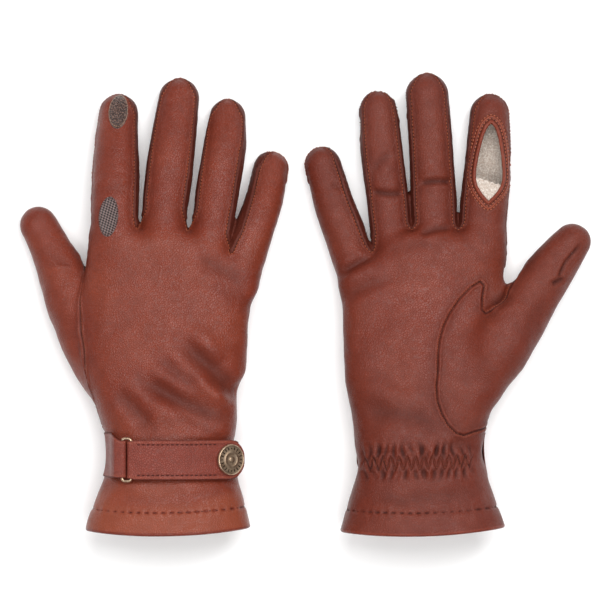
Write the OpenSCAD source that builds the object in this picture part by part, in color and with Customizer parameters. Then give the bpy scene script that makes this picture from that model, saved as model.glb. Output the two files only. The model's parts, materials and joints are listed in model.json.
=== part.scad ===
// A pair of lined leather shooting gloves, lying side by side on a table: one palm down, one palm up.
// Both are right-hand gloves. The index fingertip is a hood that folds back through a slit in the palm
// side, and a strap with a press stud closes the wrist over a wire loop.
// Each glove is drawn in its own frame: +X towards the little finger, +Y towards the fingertips,
// +Z out of the back of the hand, and the origin in the middle of the wrist. Millimetres.

/* [Leather] */
// Thickness of the leather
leather = 1.2; // [0.8:0.1:1.4]
// Thickness of the fleece lining
fleece = 1.6; // [1:0.1:2]
// Depth of the turned-in hem of the cuff
hem_depth = 13; // [10:0.5:15]

/* [Hand] */
// Width of the hand across the knuckles
palm_w = 94; // [90:1:98]
// Width of the wrist
wrist_w = 67.6; // [66:0.2:68]
// Thickness of the wrist
wrist_t = 42; // [40:0.5:43]
// Width of the cuff at its hem
cuff_w = 90; // [86:1:94]
// Depth of the cuff at its hem
cuff_t = 53; // [50:1:54]
// Length of the cuff below the middle of the wrist
cuff_l = 44; // [42:1:46]
// Thickness of a finger as a share of its width
finger_flat = 0.9; // [0.85:0.01:0.95]

/* [Folding fingertip] */
// Length of the slit in the palm side of the index finger
slit_l = 39; // [34:1:42]
// Width of the slit
slit_w = 13.5; // [10:0.5:14]
// Width of the leather binding round the slit
binding_w = 1.7; // [1.2:0.1:2]
// Thickness of each fastening patch
patch_t = 1.1; // [0.8:0.1:1.2]
// Height of the fold line above the back of the finger
fold_rise = 1.3; // [1.3:0.1:1.6]

/* [Strap] */
// Width of the wrist strap
strap_w = 21.5; // [18:0.5:21.5]
// Thickness of the strap
strap_t = 1.3; // [1:0.1:1.4]
// Diameter of the press-stud cap
cap_d = 17; // [15:0.5:18]
// Diameter of the wire of the loop
wire_d = 1.6; // [1.4:0.1:1.7]
// Width of the elastic in the palm side of the wrist
elastic_w = 7; // [5:0.5:9]

/* [Hidden] */
GLOVES = ["palm_down", "palm_up"];
PIECES = ["hand_shell", "index_stall", "middle_stall", "ring_stall", "little_stall", "thumb",
          "index_middle_fourchette", "middle_ring_fourchette", "ring_little_fourchette",
          "slit_binding", "lining", "wrist_elastic", "hem_facing", "hook_patch",
          "ring_tab", "strap_anchor", "snap_stud", "snap_eyelet",
          "index_hood", "hood_lining", "hood_binding", "hood_fourchette", "loop_patch",
          "strap_ring", "strap_flap", "snap_cap", "snap_socket"];

// Where each glove lies: the middle of its wrist, and its turn about Y
place_at = [[-75.041, -82.538, 26.231], [64.159, -82.538, 28.082]];
turn = [0, 180];

// How far the knuckles stand towards the back of the hand, from the line of the wrist
knuckle_lift = [0, 9.5];

// Each finger is a chain of beads from inside the palm to the tip: [x, y, z, radius across].
// One list per glove, in the order index, middle, ring, little
INDEX = 0;
MIDDLE = 1;
RING = 2;
LITTLE = 3;
fingers = [
    [[[-30, 112, 0, 12.6], [-29.8, 142, -2, 12.8], [-29.5, 165, -8, 11.8], [-28.5, 188.5, -17.5, 9.8]],
     [[-3.5, 112, 0, 12.2], [-1.7, 140, -2, 12.9], [1.3, 168, -8, 12.2], [5, 196.8, -17, 10.3]],
     [[19.5, 110, 0, 11.3], [24.4, 140, -2.5, 12.2], [29.3, 168, -9, 11.2], [31.3, 186.5, -17.8, 9.5]],
     [[38, 98, -1, 11], [46, 124, -4, 10.6], [51.7, 140.5, -9, 10], [55.6, 158, -18.5, 8.8]]],
    [[[-32, 112, 12, 12.4], [-33.8, 140, 13.4, 12.8], [-36, 168, 14.5, 11.6], [-37.1, 188.5, 16, 9.9]],
     [[-6.5, 112, 12, 11.9], [-5.5, 140, 13.4, 12.5], [-4, 168, 14.4, 11.7], [-2.2, 198.5, 15, 11]],
     [[16.5, 110, 12, 10.9], [19.3, 140, 14, 11.5], [22.8, 168, 14.6, 11.2], [24.5, 190, 16, 9.9]],
     [[35, 98, 11, 11], [44.3, 124, 14.5, 10.6], [50.3, 140.5, 15.8, 9.9], [55.6, 160.5, 17, 8.8]]]];
thumbs = [
    [[-34, 42, -8, 14], [-43, 62, -9, 16], [-51, 80, -10.5, 15], [-60.5, 106, -14.5, 11], [-72.6, 127.6, -18, 8.8]],
    [[-34, 41, -4, 13.5], [-42.5, 60.5, -4, 17.5], [-57.5, 82.5, -1, 14.5], [-69, 99, 1, 12.4], [-83, 117.7, 3, 9.3]]];

// Fastening patches on the back of the index finger: near its root, and at its tip
hook_at = [[-33.3, 131.5], [-36.5, 131.5]];
loop_at = [[-28.6, 188.1], [-37, 188.5]];
hook_size = [10.5, 21.5];
loop_size = [11, 18];

// The hand from the hem to the knuckles: [y, middle x, half width, half thickness]
sections = [
    [-cuff_l, -0.5, cuff_w / 2, cuff_t / 2],
    [-33, -0.3, cuff_w / 2 - 1, cuff_t / 2 - 1],
    [-25, 0.4, 40.5, 24],
    [-14, 0.2, 35.6, 21.6],
    [-3, 0.4, wrist_w / 2, wrist_t / 2],
    [8, 0.2, 34.6, 20.8],
    [19, 0.4, 37.7, 20],
    [36, -1, 41, 18.6],
    [52, -2, 44.3, 17.6],
    [69, -2, palm_w / 2 - 0.5, 16.5],
    [90, -0.5, palm_w / 2, 15.3],
    [102, -0.5, 46.3, 14.6],
    [113, -4.5, 40.5, 13.6],
    [121, -5.5, 38.5, 12.6],
    [124, -5.5, 36, 10.5]];
section_n = 20;       // corners of one section of the hand
section_power = 2.4;  // 2 is an ellipse, and more is squarer
bead_fn = 12;
far = 80;             // longer than any cut has to be

gap = 0.1;            // between leather pieces that are sewn edge to edge
lining_gap = 1.2;     // room for the elastic between leather and lining
lining_out = leather + lining_gap;
lining_in = lining_out + fleece;
lining_start = hem_depth - cuff_l + 1;
fourchette_half = 4.2; // half the height of the side strip of a finger

// The strap lies on a drum about an axis along Y, and angles run from the top of the drum towards
// the little finger
drum_r = 61.7;
drum_top = 23.6;
drum_at = [-4, -1.4, drum_top - drum_r];
layer_gap = wire_d + 0.3;
flap_r = drum_r + strap_t + layer_gap;
bar_r = drum_r + strap_t + layer_gap / 2;
tab_bar_a = -19.6;
flap_bar_a = -15;
snap_at = [34, 28.5];   // one glove lies with its strap drawn a little further back
tab_end_a = -29;
anchor_past = 9;      // how far the lower layer runs on past the stud
tab_w = 22.5;
tab_shift = 1;
ring_half = 11.6;     // half the length of the loop, at the middle of its wire
stud_r = 2;
stud_h = 1.5;
post_r = 1.4;
socket_h = 1.6;

function ease(t) = let (u = min(max(t, 0), 1)) u * u * (3 - 2 * u);
function lift(g, y) = knuckle_lift[g] * ease((y - 10) / 100);
function oval(half_w, half_t, power) =
    [for (i = [0 : section_n - 1])
        let (a = 360 * (i + 0.5) / section_n, c = cos(a), s = sin(a))
        [half_w * sign(c) * pow(abs(c), 2 / power), half_t * sign(s) * pow(abs(s), 2 / power)]];
function fold_at(g) = (hook_at[g] + loop_at[g]) / 2;
function fold_lean(g) = let (d = loop_at[g] - hook_at[g]) -atan2(d[0], d[1]);

// One thin slice of the hand, grown outwards by grow
module slice(g, s, grow) {
    translate([s[1], s[0], lift(g, s[0])])
        rotate([90, 0, 0])
            linear_extrude(0.1, center = true)
                polygon(oval(s[2] + grow, s[3] + grow, section_power));
}

// The whole hand without its fingers. A shrunken one runs out past the hem, so that it cuts a mouth
module hand(g, grow) {
    last = len(sections) - 1;
    for (i = [0 : last - 1]) {
        a = i == 0 && grow < 0 ? sections[0] - [8, 0, 0, 0] : sections[i];
        b = i == last - 1 ? sections[last] + [grow, 0, 0, 0] : sections[i + 1];
        hull() {
            slice(g, a, grow);
            slice(g, b, grow);
        }
    }
}

module bead(b, grow) {
    translate([b[0], b[1], b[2]])
        scale([1, 1, finger_flat])
            sphere(r = b[3] + grow, $fn = bead_fn);
}

module finger(beads, grow) {
    for (i = [0 : len(beads) - 2])
        hull() {
            bead(beads[i], grow);
            bead(beads[i + 1], grow);
        }
}

// The strip of space along one side of a finger that its fourchette fills. side is 1 or -1
module side_space(beads, side, half) {
    for (i = [0 : len(beads) - 2])
        hull()
            for (b = [beads[i], beads[i + 1]])
                translate([b[0] + side * b[3], b[1], b[2]])
                    cube([6, 0.5, 2 * half], center = true);
}

module beyond_fold(g, clear) {
    translate(concat(fold_at(g), 0))
        rotate(fold_lean(g))
            translate([-far / 2, clear, -far])
                cube([far, far, 2 * far]);
}

module before_fold(g, clear) {
    translate(concat(fold_at(g), 0))
        rotate(fold_lean(g))
            translate([-far / 2, -clear - far, -far])
                cube([far, far, 2 * far]);
}

// The slit: a pointed oval through the palm side of the index finger
module slit(g, grow) {
    half_l = slit_l / 2;
    half_w = slit_w / 2;
    r = (half_l * half_l + half_w * half_w) / (2 * half_w);
    depth = fingers[g][INDEX][2][2] - 3;
    translate([fold_at(g)[0], fold_at(g)[1], depth - far])
        rotate(fold_lean(g))
            linear_extrude(far)
                intersection() {
                    translate([r - half_w, 0]) circle(r + grow, $fn = 64);
                    translate([half_w - r, 0]) circle(r + grow, $fn = 64);
                }
}

module tube(g, f, out_by, in_by) {
    difference() {
        finger(fingers[g][f], -out_by);
        finger(fingers[g][f], -in_by);
        hand(g, gap);
    }
}

module hand_shell(g) {
    color("sienna")
        difference() {
            hand(g, 0);
            hand(g, -leather);
            for (f = fingers[g]) finger(f, -leather);
            finger(thumbs[g], -leather);
        }
}

module stall(g, f, sides) {
    color("sienna")
        difference() {
            tube(g, f, 0, leather);
            for (s = sides) side_space(fingers[g][f], s, fourchette_half + gap);
            if (f == INDEX) {
                slit(g, binding_w + gap);
                beyond_fold(g, -0.3);
            }
        }
}

module thumb(g) {
    color("sienna")
        difference() {
            finger(thumbs[g], 0);
            finger(thumbs[g], -leather);
            hand(g, gap);
        }
}

// The two side strips between neighbouring fingers a and a + 1
module fourchette(g, a) {
    color("maroon") {
        difference() {
            intersection() {
                tube(g, a, 0, leather);
                side_space(fingers[g][a], 1, fourchette_half);
            }
            if (a == INDEX) beyond_fold(g, -0.3);
        }
        intersection() {
            tube(g, a + 1, 0, leather);
            side_space(fingers[g][a + 1], -1, fourchette_half);
        }
    }
}

module binding(g) {
    color("peru")
        intersection() {
            difference() {
                finger(fingers[g][INDEX], 0.7);
                finger(fingers[g][INDEX], -leather);
            }
            difference() {
                slit(g, binding_w);
                slit(g, 0);
            }
            children();
        }
}

module slit_binding(g) {
    binding(g) before_fold(g, 0.3);
}

module hood_binding(g) {
    binding(g) beyond_fold(g, 0.3);
}

module lining(g) {
    color("ivory")
        difference() {
            union() {
                intersection() {
                    hand(g, -lining_out);
                    translate([-far, lining_start, -far]) cube([2 * far, 3 * far, 2 * far]);
                }
                for (f = fingers[g]) finger(f, -lining_out);
                finger(thumbs[g], -lining_out);
            }
            hand(g, -lining_in);
            for (f = fingers[g]) finger(f, -lining_in);
            finger(thumbs[g], -lining_in);
            beyond_fold_index(g);
            slit(g, 0.5);
        }
}

// What the lining leaves to the hood: the index finger past the fold, and no other finger
module beyond_fold_index(g) {
    intersection() {
        beyond_fold(g, -0.3);
        finger(fingers[g][INDEX], 1);
    }
}

module index_hood(g) {
    color("sienna")
        difference() {
            intersection() {
                tube(g, INDEX, 0, leather);
                beyond_fold(g, 0.3);
            }
            side_space(fingers[g][INDEX], 1, fourchette_half + gap);
            slit(g, binding_w + gap);
        }
}

module hood_lining(g) {
    color("ivory")
        difference() {
            intersection() {
                tube(g, INDEX, lining_out, lining_in);
                beyond_fold(g, 0.3);
            }
            slit(g, 0.5);
        }
}

module hood_fourchette(g) {
    color("maroon")
        intersection() {
            tube(g, INDEX, 0, leather);
            side_space(fingers[g][INDEX], 1, fourchette_half);
            beyond_fold(g, 0.3);
        }
}

// An oval patch that follows the back of the index finger and of the hand
module patch(g, at, size, z) {
    difference() {
        intersection() {
            union() {
                finger(fingers[g][INDEX], patch_t);
                hand(g, patch_t);
            }
            translate([at[0], at[1], z])
                rotate(fold_lean(g))
                    scale([size[0] / 2, size[1] / 2, 1])
                        cylinder(r = 1, h = far, $fn = 32);
        }
        finger(fingers[g][INDEX], 0.05);
        hand(g, 0.05);
    }
}

module hook_patch(g) {
    color("dimgray") patch(g, hook_at[g], hook_size, fingers[g][INDEX][1][2]);
}

module loop_patch(g) {
    color("gray") patch(g, loop_at[g], loop_size, fingers[g][INDEX][3][2]);
}

module wrist_elastic(g) {
    color("whitesmoke")
        intersection() {
            difference() {
                hand(g, -leather - gap);
                hand(g, -leather - gap - 0.8);
            }
            translate([-26, -3.3 - elastic_w / 2, -far]) cube([58, elastic_w, far - 6]);
        }
}

module hem_facing(g) {
    color("peru")
        intersection() {
            difference() {
                hand(g, -leather - gap);
                hand(g, -leather - gap - 0.9);
            }
            translate([-far, -cuff_l, -far]) cube([2 * far, hem_depth, 2 * far]);
        }
}

// Places its children on the strap's drum at an angle from the drum's top, with +Z outwards
module on_drum(a, r) {
    translate(drum_at)
        rotate([0, a, 0])
            translate([0, 0, r])
                children();
}

// A flat piece of the drum's wall between two angles
module band(r, t, a0, a1, w) {
    mid = (a0 + a1) / 2;
    translate(drum_at)
        rotate([90, 0, 0])
            linear_extrude(w, center = true)
                intersection() {
                    difference() {
                        circle(r + t, $fn = 180);
                        circle(r, $fn = 180);
                    }
                    polygon([[0, 0], 2 * r * [sin(a0), cos(a0)], 2 * r * [sin(mid), cos(mid)],
                             2 * r * [sin(a1), cos(a1)]]);
                }
}

// The upper strap's turn round its bar of the loop, a hair thinner than the strap that it runs into
module bight(a, w) {
    on_drum(a, bar_r)
        rotate([90, 0, 0])
            intersection() {
                difference() {
                    cylinder(r = layer_gap / 2 + strap_t - 0.03, h = w, center = true, $fn = 48);
                    cylinder(r = layer_gap / 2 + 0.03, h = w + 1, center = true, $fn = 48);
                }
                translate([-4.6, 0, 0]) cube([10, 10, w + 2], center = true);
            }
}

// A sewn-down foot that fills the space between a strap end and the leather under it
module foot(g, a0, a1, w, shift) {
    difference() {
        translate([0, shift, 0]) band(drum_r - 7, 7.01, a0, a1, w);
        hand(g, gap);
    }
}

// The tab's section across its fold: two layers round the bar, closed and thickened where it is sewn down
module tab_section() {
    difference() {
        union() {
            sector(tab_end_a, tab_bar_a) circle(flap_r + strap_t, $fn = 180);
            rotate(-tab_bar_a) translate([0, bar_r]) circle(layer_gap / 2 + strap_t, $fn = 48);
        }
        circle(drum_r, $fn = 180);
        sector(tab_end_a + 1.2, tab_bar_a)
            difference() {
                circle(flap_r, $fn = 180);
                circle(drum_r + strap_t, $fn = 180);
            }
        rotate(-tab_bar_a) translate([0, bar_r]) circle(layer_gap / 2, $fn = 48);
    }
}

module sector(a0, a1) {
    intersection() {
        children();
        polygon([[0, 0], 2 * drum_r * [sin(a0), cos(a0)], 2 * drum_r * [sin(a1), cos(a1)]]);
    }
}

module ring_tab(g) {
    bight_w = 2 * ring_half - wire_d - 2.4;
    color("brown")
        difference() {
            translate(drum_at + [0, tab_shift, 0])
                rotate([90, 0, 0])
                    linear_extrude(tab_w, center = true) {
                        tab_section();
                        sector(tab_end_a, tab_end_a + 1.8)
                            difference() {
                                circle(drum_r + strap_t / 2, $fn = 180);
                                circle(drum_r - 7, $fn = 180);
                            }
                    }
            for (side = [-1, 1])
                on_drum(tab_bar_a, drum_r)
                    translate([2.8, side * (bight_w / 2 + 5), 2])
                        cube([8, 10, 12], center = true);
            hand(g, gap);
        }
}

module strap_anchor(g) {
    color("brown")
        difference() {
            union() {
                band(drum_r, strap_t, flap_bar_a + 3.4, snap_at[g] + anchor_past, strap_w - 1);
                foot(g, snap_at[g] + anchor_past - 3, snap_at[g] + anchor_past - 0.1, strap_w - 1.2, 0);
            }
            on_drum(snap_at[g], drum_r - 1) cylinder(r = post_r + 0.1, h = strap_t + 2, $fn = 32);
            hand(g, gap);
        }
}

module strap_ring(g) {
    corner = 1.6;
    half_x = bar_r * sin((flap_bar_a - tab_bar_a) / 2);
    wire_r = wire_d / 2 - 0.02;
    color("goldenrod")
        on_drum((tab_bar_a + flap_bar_a) / 2, bar_r * cos((flap_bar_a - tab_bar_a) / 2)) {
            for (x = [-1, 1])
                translate([x * half_x, 0, 0])
                    rotate([90, 0, 0])
                        cylinder(r = wire_r, h = 2 * (ring_half - corner) + 0.3, center = true, $fn = 32);
            for (y = [-1, 1])
                translate([0, y * ring_half, 0])
                    rotate([0, 90, 0])
                        cylinder(r = wire_r, h = 2 * (half_x - corner) + 0.3, center = true, $fn = 32);
            for (k = [0 : 3])
                translate([(k == 0 || k == 3 ? 1 : -1) * (half_x - corner),
                           (k < 2 ? 1 : -1) * (ring_half - corner), 0])
                    rotate(90 * k)
                        rotate_extrude(angle = 90, $fn = 48)
                            translate([corner, 0]) circle(d = wire_d, $fn = 32);
        }
}

module strap_flap(g) {
    color("brown")
        difference() {
            union() {
                band(flap_r, strap_t, flap_bar_a, snap_at[g], strap_w);
                intersection() {
                    band(flap_r, strap_t, snap_at[g] - 1, snap_at[g] + 14, strap_w);
                    on_drum(snap_at[g], drum_r) cylinder(d = strap_w, h = 20, $fn = 64);
                }
                bight(flap_bar_a, 2 * ring_half - wire_d - 2.4);
            }
            on_drum(snap_at[g], flap_r - 1) cylinder(r = post_r + 0.1, h = strap_t + 2, $fn = 32);
            // its corners are cut away so that it clears the loop's rounded corners as it opens
            for (side = [-1, 1])
                on_drum(flap_bar_a, bar_r)
                    translate([0.7, side * (ring_half - 1.5 + 5), 1.5])
                        cube([4, 10, 6], center = true);
        }
}

module snap_cap(g) {
    rim = cap_d / 2;
    color("darkgoldenrod")
        on_drum(snap_at[g], flap_r + strap_t + 0.6) {
            rotate_extrude($fn = 64)
                polygon([[0, 0], [rim - 0.8, 0], [rim, 0.5], [rim, 1.5], [rim - 0.9, 2.1],
                         [rim - 1.8, 1.8], [rim / 2, 2.2], [0, 2.4]]);
            translate([0, 0, -0.6 - strap_t - 0.05]) cylinder(r = post_r, h = strap_t + 1.3, $fn = 32);
        }
}

module snap_socket(g) {
    color("darkgoldenrod")
        on_drum(snap_at[g], drum_r + strap_t + 0.2)
            difference() {
                cylinder(r = 5, h = socket_h, $fn = 48);
                translate([0, 0, -1]) cylinder(r = 3.1, h = socket_h + 0.6, $fn = 48);
            }
}

module snap_stud(g) {
    color("darkgoldenrod")
        on_drum(snap_at[g], drum_r) {
            translate([0, 0, strap_t + 0.02]) cylinder(r = stud_r, h = stud_h - 0.3, $fn = 32);
            translate([0, 0, 0.05]) cylinder(r = post_r, h = strap_t + 0.15, $fn = 32);
        }
}

module snap_eyelet(g) {
    color("darkgoldenrod")
        on_drum(snap_at[g], drum_r - 0.75)
            difference() {
                cylinder(r = 4, h = 0.6, $fn = 40);
                translate([0, 0, -1]) cylinder(r = post_r + 0.05, h = 3, $fn = 32);
            }
}

module piece(g, p) {
    if (p == "hand_shell") hand_shell(g);
    if (p == "index_stall") stall(g, INDEX, [1]);
    if (p == "middle_stall") stall(g, MIDDLE, [-1, 1]);
    if (p == "ring_stall") stall(g, RING, [-1, 1]);
    if (p == "little_stall") stall(g, LITTLE, [-1]);
    if (p == "thumb") thumb(g);
    if (p == "index_middle_fourchette") fourchette(g, INDEX);
    if (p == "middle_ring_fourchette") fourchette(g, MIDDLE);
    if (p == "ring_little_fourchette") fourchette(g, RING);
    if (p == "slit_binding") slit_binding(g);
    if (p == "lining") lining(g);
    if (p == "wrist_elastic") wrist_elastic(g);
    if (p == "hem_facing") hem_facing(g);
    if (p == "hook_patch") hook_patch(g);
    if (p == "ring_tab") ring_tab(g);
    if (p == "strap_anchor") strap_anchor(g);
    if (p == "snap_stud") snap_stud(g);
    if (p == "snap_eyelet") snap_eyelet(g);
    if (p == "index_hood") index_hood(g);
    if (p == "hood_lining") hood_lining(g);
    if (p == "hood_binding") hood_binding(g);
    if (p == "hood_fourchette") hood_fourchette(g);
    if (p == "loop_patch") loop_patch(g);
    if (p == "strap_ring") strap_ring(g);
    if (p == "strap_flap") strap_flap(g);
    if (p == "snap_cap") snap_cap(g);
    if (p == "snap_socket") snap_socket(g);
}

for (g = [0, 1])
    for (p = PIECES)
        translate(place_at[g])
                rotate([0, turn[g], 0])
                    piece(g, p);
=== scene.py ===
"""A pair of lined leather gloves lying on a table, one palm down and one palm up.

Each glove is shaped in its own frame, in millimetres: +X towards the little finger, +Y towards the
fingertips, +Z out of the back of the hand, with the origin in the middle of the wrist. The leather is one
smooth surface drawn round the fingers, thumb and hand, and it is then cut into its panels along the seams.
"""

import json
import math

import bpy
import numpy as np
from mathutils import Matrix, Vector

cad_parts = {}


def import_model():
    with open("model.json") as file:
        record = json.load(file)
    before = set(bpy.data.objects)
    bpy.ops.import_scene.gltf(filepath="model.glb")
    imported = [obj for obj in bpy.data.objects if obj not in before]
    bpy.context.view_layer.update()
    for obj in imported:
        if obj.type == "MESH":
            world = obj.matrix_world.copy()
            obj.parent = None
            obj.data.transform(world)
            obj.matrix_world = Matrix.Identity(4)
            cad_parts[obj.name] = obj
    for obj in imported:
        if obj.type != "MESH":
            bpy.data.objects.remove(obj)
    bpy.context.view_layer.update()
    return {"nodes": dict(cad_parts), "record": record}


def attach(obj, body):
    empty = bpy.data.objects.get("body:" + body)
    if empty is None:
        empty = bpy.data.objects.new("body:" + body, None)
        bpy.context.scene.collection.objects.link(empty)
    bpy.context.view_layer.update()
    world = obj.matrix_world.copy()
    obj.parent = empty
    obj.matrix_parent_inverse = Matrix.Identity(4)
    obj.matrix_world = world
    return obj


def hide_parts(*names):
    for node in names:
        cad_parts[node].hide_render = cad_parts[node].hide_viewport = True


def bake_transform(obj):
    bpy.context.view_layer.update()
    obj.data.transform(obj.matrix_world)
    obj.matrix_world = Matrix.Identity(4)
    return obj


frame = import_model()


def pick(full):
    return full


# ---------------------------------------------------------------- the gloves, in millimetres

LEATHER = 1.2
LINING_DEPTH = 1.4  # from the leather's outside to the lining's
FLEECE = 1.5
FLAT = 0.9  # thickness of a finger as a share of its width
DRUM_R = 61.7  # the strap lies on a drum about an axis along Y
DRUM = np.array([-4.0, -1.4, 23.6 - DRUM_R])
STRAP_T = 1.3
WIRE_GAP = 0.95  # from the middle of the loop's wire to the leather turned round it
FLAP_R = DRUM_R + STRAP_T + 2 * WIRE_GAP
BAR_R = DRUM_R + STRAP_T + WIRE_GAP
STRAP_W = 21.5
ANCHOR_HALF = 10.25  # half width of the strap's lower layer
TURN_HALF = 10.3  # half width of the strap where it turns round the loop
TAB_HALF = 10.2  # the same for the tab
# places round the drum, in degrees from its top: the tab's start and the loop's two bars
TAB_START_A, TAB_BAR_A, FLAP_BAR_A = -26.5, -19.6, -15.0


def outline(points):
    """Points of an outline, moved from the wrist's own middle to the glove's origin."""
    return np.array(points, float) + [1.1, -2.4]


def mount_origin(name):
    for mount in frame["record"]["mounts"]:
        if mount["name"] == name + "_hand_opening":
            return np.array(mount["pos_m"]) * 1000


GLOVES = [
    dict(
        name="palm_down",
        flip=False,
        lift=0.0,
        web=6.0,
        fingers=[
            [[-30, 112, 0, 12.6], [-30, 142, -2, 13], [-29.6, 165, -8, 12.3], [-28.6, 188.7, -17.3, 10.4]],
            [[-4.2, 112, 0, 12], [-2.5, 138, -2, 12.6], [0.9, 168, -8, 12.7], [4.8, 197.4, -16.6, 11]],
            [[20.3, 110, 0, 11], [25.2, 138, -2.5, 11.8], [29.5, 168, -9, 11.7], [31.6, 186.8, -17.6, 10]],
            [[38, 98, -1, 11], [46, 124, -4, 10.9], [51.7, 140.5, -9, 10.4], [55.4, 158.4, -18.3, 9.2]],
        ],
        thumb=[[-34, 42, -8, 14], [-43.3, 62, -9, 16.2], [-52, 81, -10.5, 15.4], [-62, 106, -14.2, 12.4],
               [-73.2, 127.4, -17.4, 10.1]],
        left=outline([(-46.5, -60), (-46.8, -36), (-42.5, -24), (-38, -12), (-34.7, 0), (-35.6, 10),
                      (-37.2, 17.6), (-40.5, 28), (-44, 38.5), (-46.4, 49.5), (-48.2, 60), (-50.6, 71),
                      (-49.7, 88), (-47.5, 104), (-44.6, 115), (-43, 126)]),
        right=outline([(44, -60), (43.2, -35), (40.4, -22), (35.8, -10), (33.6, 0), (33.4, 11), (35.8, 18),
                       (36.4, 26), (35.6, 38.5), (40.6, 49.5), (41.2, 60), (41.4, 71.5), (44.6, 92),
                       (45, 103), (37, 112), (32, 120), (30, 126)]),
        hook=(-33.3, 131.5), loop=(-28.6, 188.1),
        slit=((-30.0, 138.8), (-31.9, 183.6)),
        forks=outline([(-19.3, 127), (8.8, 126.5), (33, 112)]),
        snap_a=34.0,
        lean=(0.36, 0.06),
        cuff_tilt=0.02,
    ),
    dict(
        name="palm_up",
        flip=True,
        lift=9.5,
        web=10.0,
        fingers=[
            [[-32, 112, 12, 12.2], [-33.9, 140, 13.4, 13.1], [-36.1, 168, 14.5, 12.1],
             [-37, 188.7, 16, 10.5]],
            [[-6.9, 112, 12, 11.9], [-6.2, 140, 13.4, 12.7], [-4.8, 168, 14.4, 12.2], [-2.4, 199, 15, 11.9]],
            [[16.4, 110, 12, 10.9], [19.2, 140, 14, 11.6], [22.7, 168, 14.6, 11.6], [24.6, 190.8, 16, 10.6]],
            [[34.5, 98, 11, 11.2], [43.5, 124, 14.5, 11.6], [49.4, 140.5, 15.8, 11], [54.9, 160.5, 17, 9.8]],
        ],
        thumb=[[-33.5, 41, -4, 11.6], [-41.8, 60.5, -4, 17.2], [-57.2, 82.5, -1, 14.8],
               [-68.2, 99.6, 1, 13.2], [-82.2, 118, 3, 10]],
        left=outline([(-47.6, -60), (-47.6, -38), (-41.4, -24), (-36, -11), (-33.2, 3), (-34.2, 12),
                      (-36.6, 22), (-39, 34), (-42.5, 46), (-45, 58), (-45, 72), (-45.2, 88), (-45.6, 104),
                      (-45.4, 115), (-45, 126)]),
        right=outline([(45.2, -60), (45, -40), (41, -25), (36.5, -12), (33.6, -2), (36.3, 11), (38.4, 27.5),
                       (41.4, 44), (43, 66), (42.8, 77), (42.8, 88), (42.4, 98), (36.5, 108), (30, 116),
                       (26, 126)]),
        hook=(-36.5, 131.5), loop=(-37.0, 188.5),
        slit=((-35.8, 139.0), (-37.6, 184.0)),
        forks=outline([(-21.5, 121), (4.4, 122.7), (28.6, 114)]),
        snap_a=28.5,
        lean=(-0.12, -0.02),
        cuff_tilt=-0.03,
    ),
]

# Half thickness of the hand from the cuff to the knuckles
THICK = np.array([(-60, 27), (-44, 26.3), (-33, 25.3), (-25, 24), (-14, 22.6), (-3, 22.4), (8, 21.6),
                  (19, 20.2), (36, 18.6), (52, 17.6), (69, 16.5), (90, 15.2), (102, 14.5), (113, 13.6),
                  (121, 12.6), (130, 12)], float)
YS = np.arange(-70, 215, 0.5)


def smooth_line(points, width=3.0):
    """A line through (y, value) points, rounded at its corners, on the stations YS."""
    v = np.interp(YS, points[:, 0], points[:, 1])
    k = np.exp(-0.5 * (np.arange(-30, 31) * 0.5 / width) ** 2)
    return np.convolve(np.pad(v, 30, mode="edge"), k / k.sum(), mode="valid")


def ease(t):
    u = np.clip(t, 0, 1)
    return u * u * (3 - 2 * u)


def bell(t):
    return np.exp(-(t**2))


def smin(a, b, k):
    h = np.clip(0.5 + 0.5 * (b - a) / k, 0, 1)
    return b * (1 - h) + a * h - k * h * (1 - h)


def smax(a, b, k):
    return -smin(-a, -b, k)


def chain(beads, n):
    """A smooth run of n beads through a few."""
    b = np.array(beads, float)
    t = np.linspace(0, len(b) - 1, n)
    i = np.clip(t.astype(int), 0, len(b) - 2)
    u = (t - i)[:, None]
    slope = np.gradient(b, axis=0)
    p, q, m, o = b[i], b[i + 1], slope[i], slope[i + 1]
    return ((2 * u**3 - 3 * u**2 + 1) * p + (u**3 - 2 * u**2 + u) * m
            + (-2 * u**3 + 3 * u**2) * q + (u**3 - u**2) * o)


def cone(P, a, b):
    """Distance from points to the round cone between two beads."""
    ba = b[:3] - a[:3]
    l2 = ba @ ba
    rr = a[3] - b[3]
    a2 = l2 - rr * rr
    pa = P - a[:3]
    y = pa @ ba
    z = y - l2
    x2 = ((pa * l2 - y[:, None] * ba) ** 2).sum(1)
    y2 = y * y * l2
    z2 = z * z * l2
    k = np.sign(rr) * rr * rr * x2
    body = (np.sqrt(x2 * a2 / l2) + y * rr) / l2 - a[3]
    return np.where(np.sign(z) * a2 * z2 > k, np.sqrt(x2 + z2) / l2 - b[3],
                    np.where(np.sign(y) * a2 * y2 < k, np.sqrt(x2 + y2) / l2 - a[3], body))


def tube(P, beads):
    """Distance from points to a smooth finger, only worked out near it."""
    out = np.full(len(P), 60.0)
    lo = beads[:, :3].min(0) - beads[:, 3].max() - 18
    hi = beads[:, :3].max(0) + beads[:, 3].max() + 18
    near = ((P > lo) & (P < hi)).all(1)
    Q = P[near] / [1, 1, FLAT]
    B = beads / [1, 1, FLAT, 1]
    d = np.full(len(Q), 60.0)
    for a, b in zip(B, B[1:]):
        d = np.minimum(d, cone(Q, a, b))
    out[near] = d * 0.95
    return out


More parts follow.
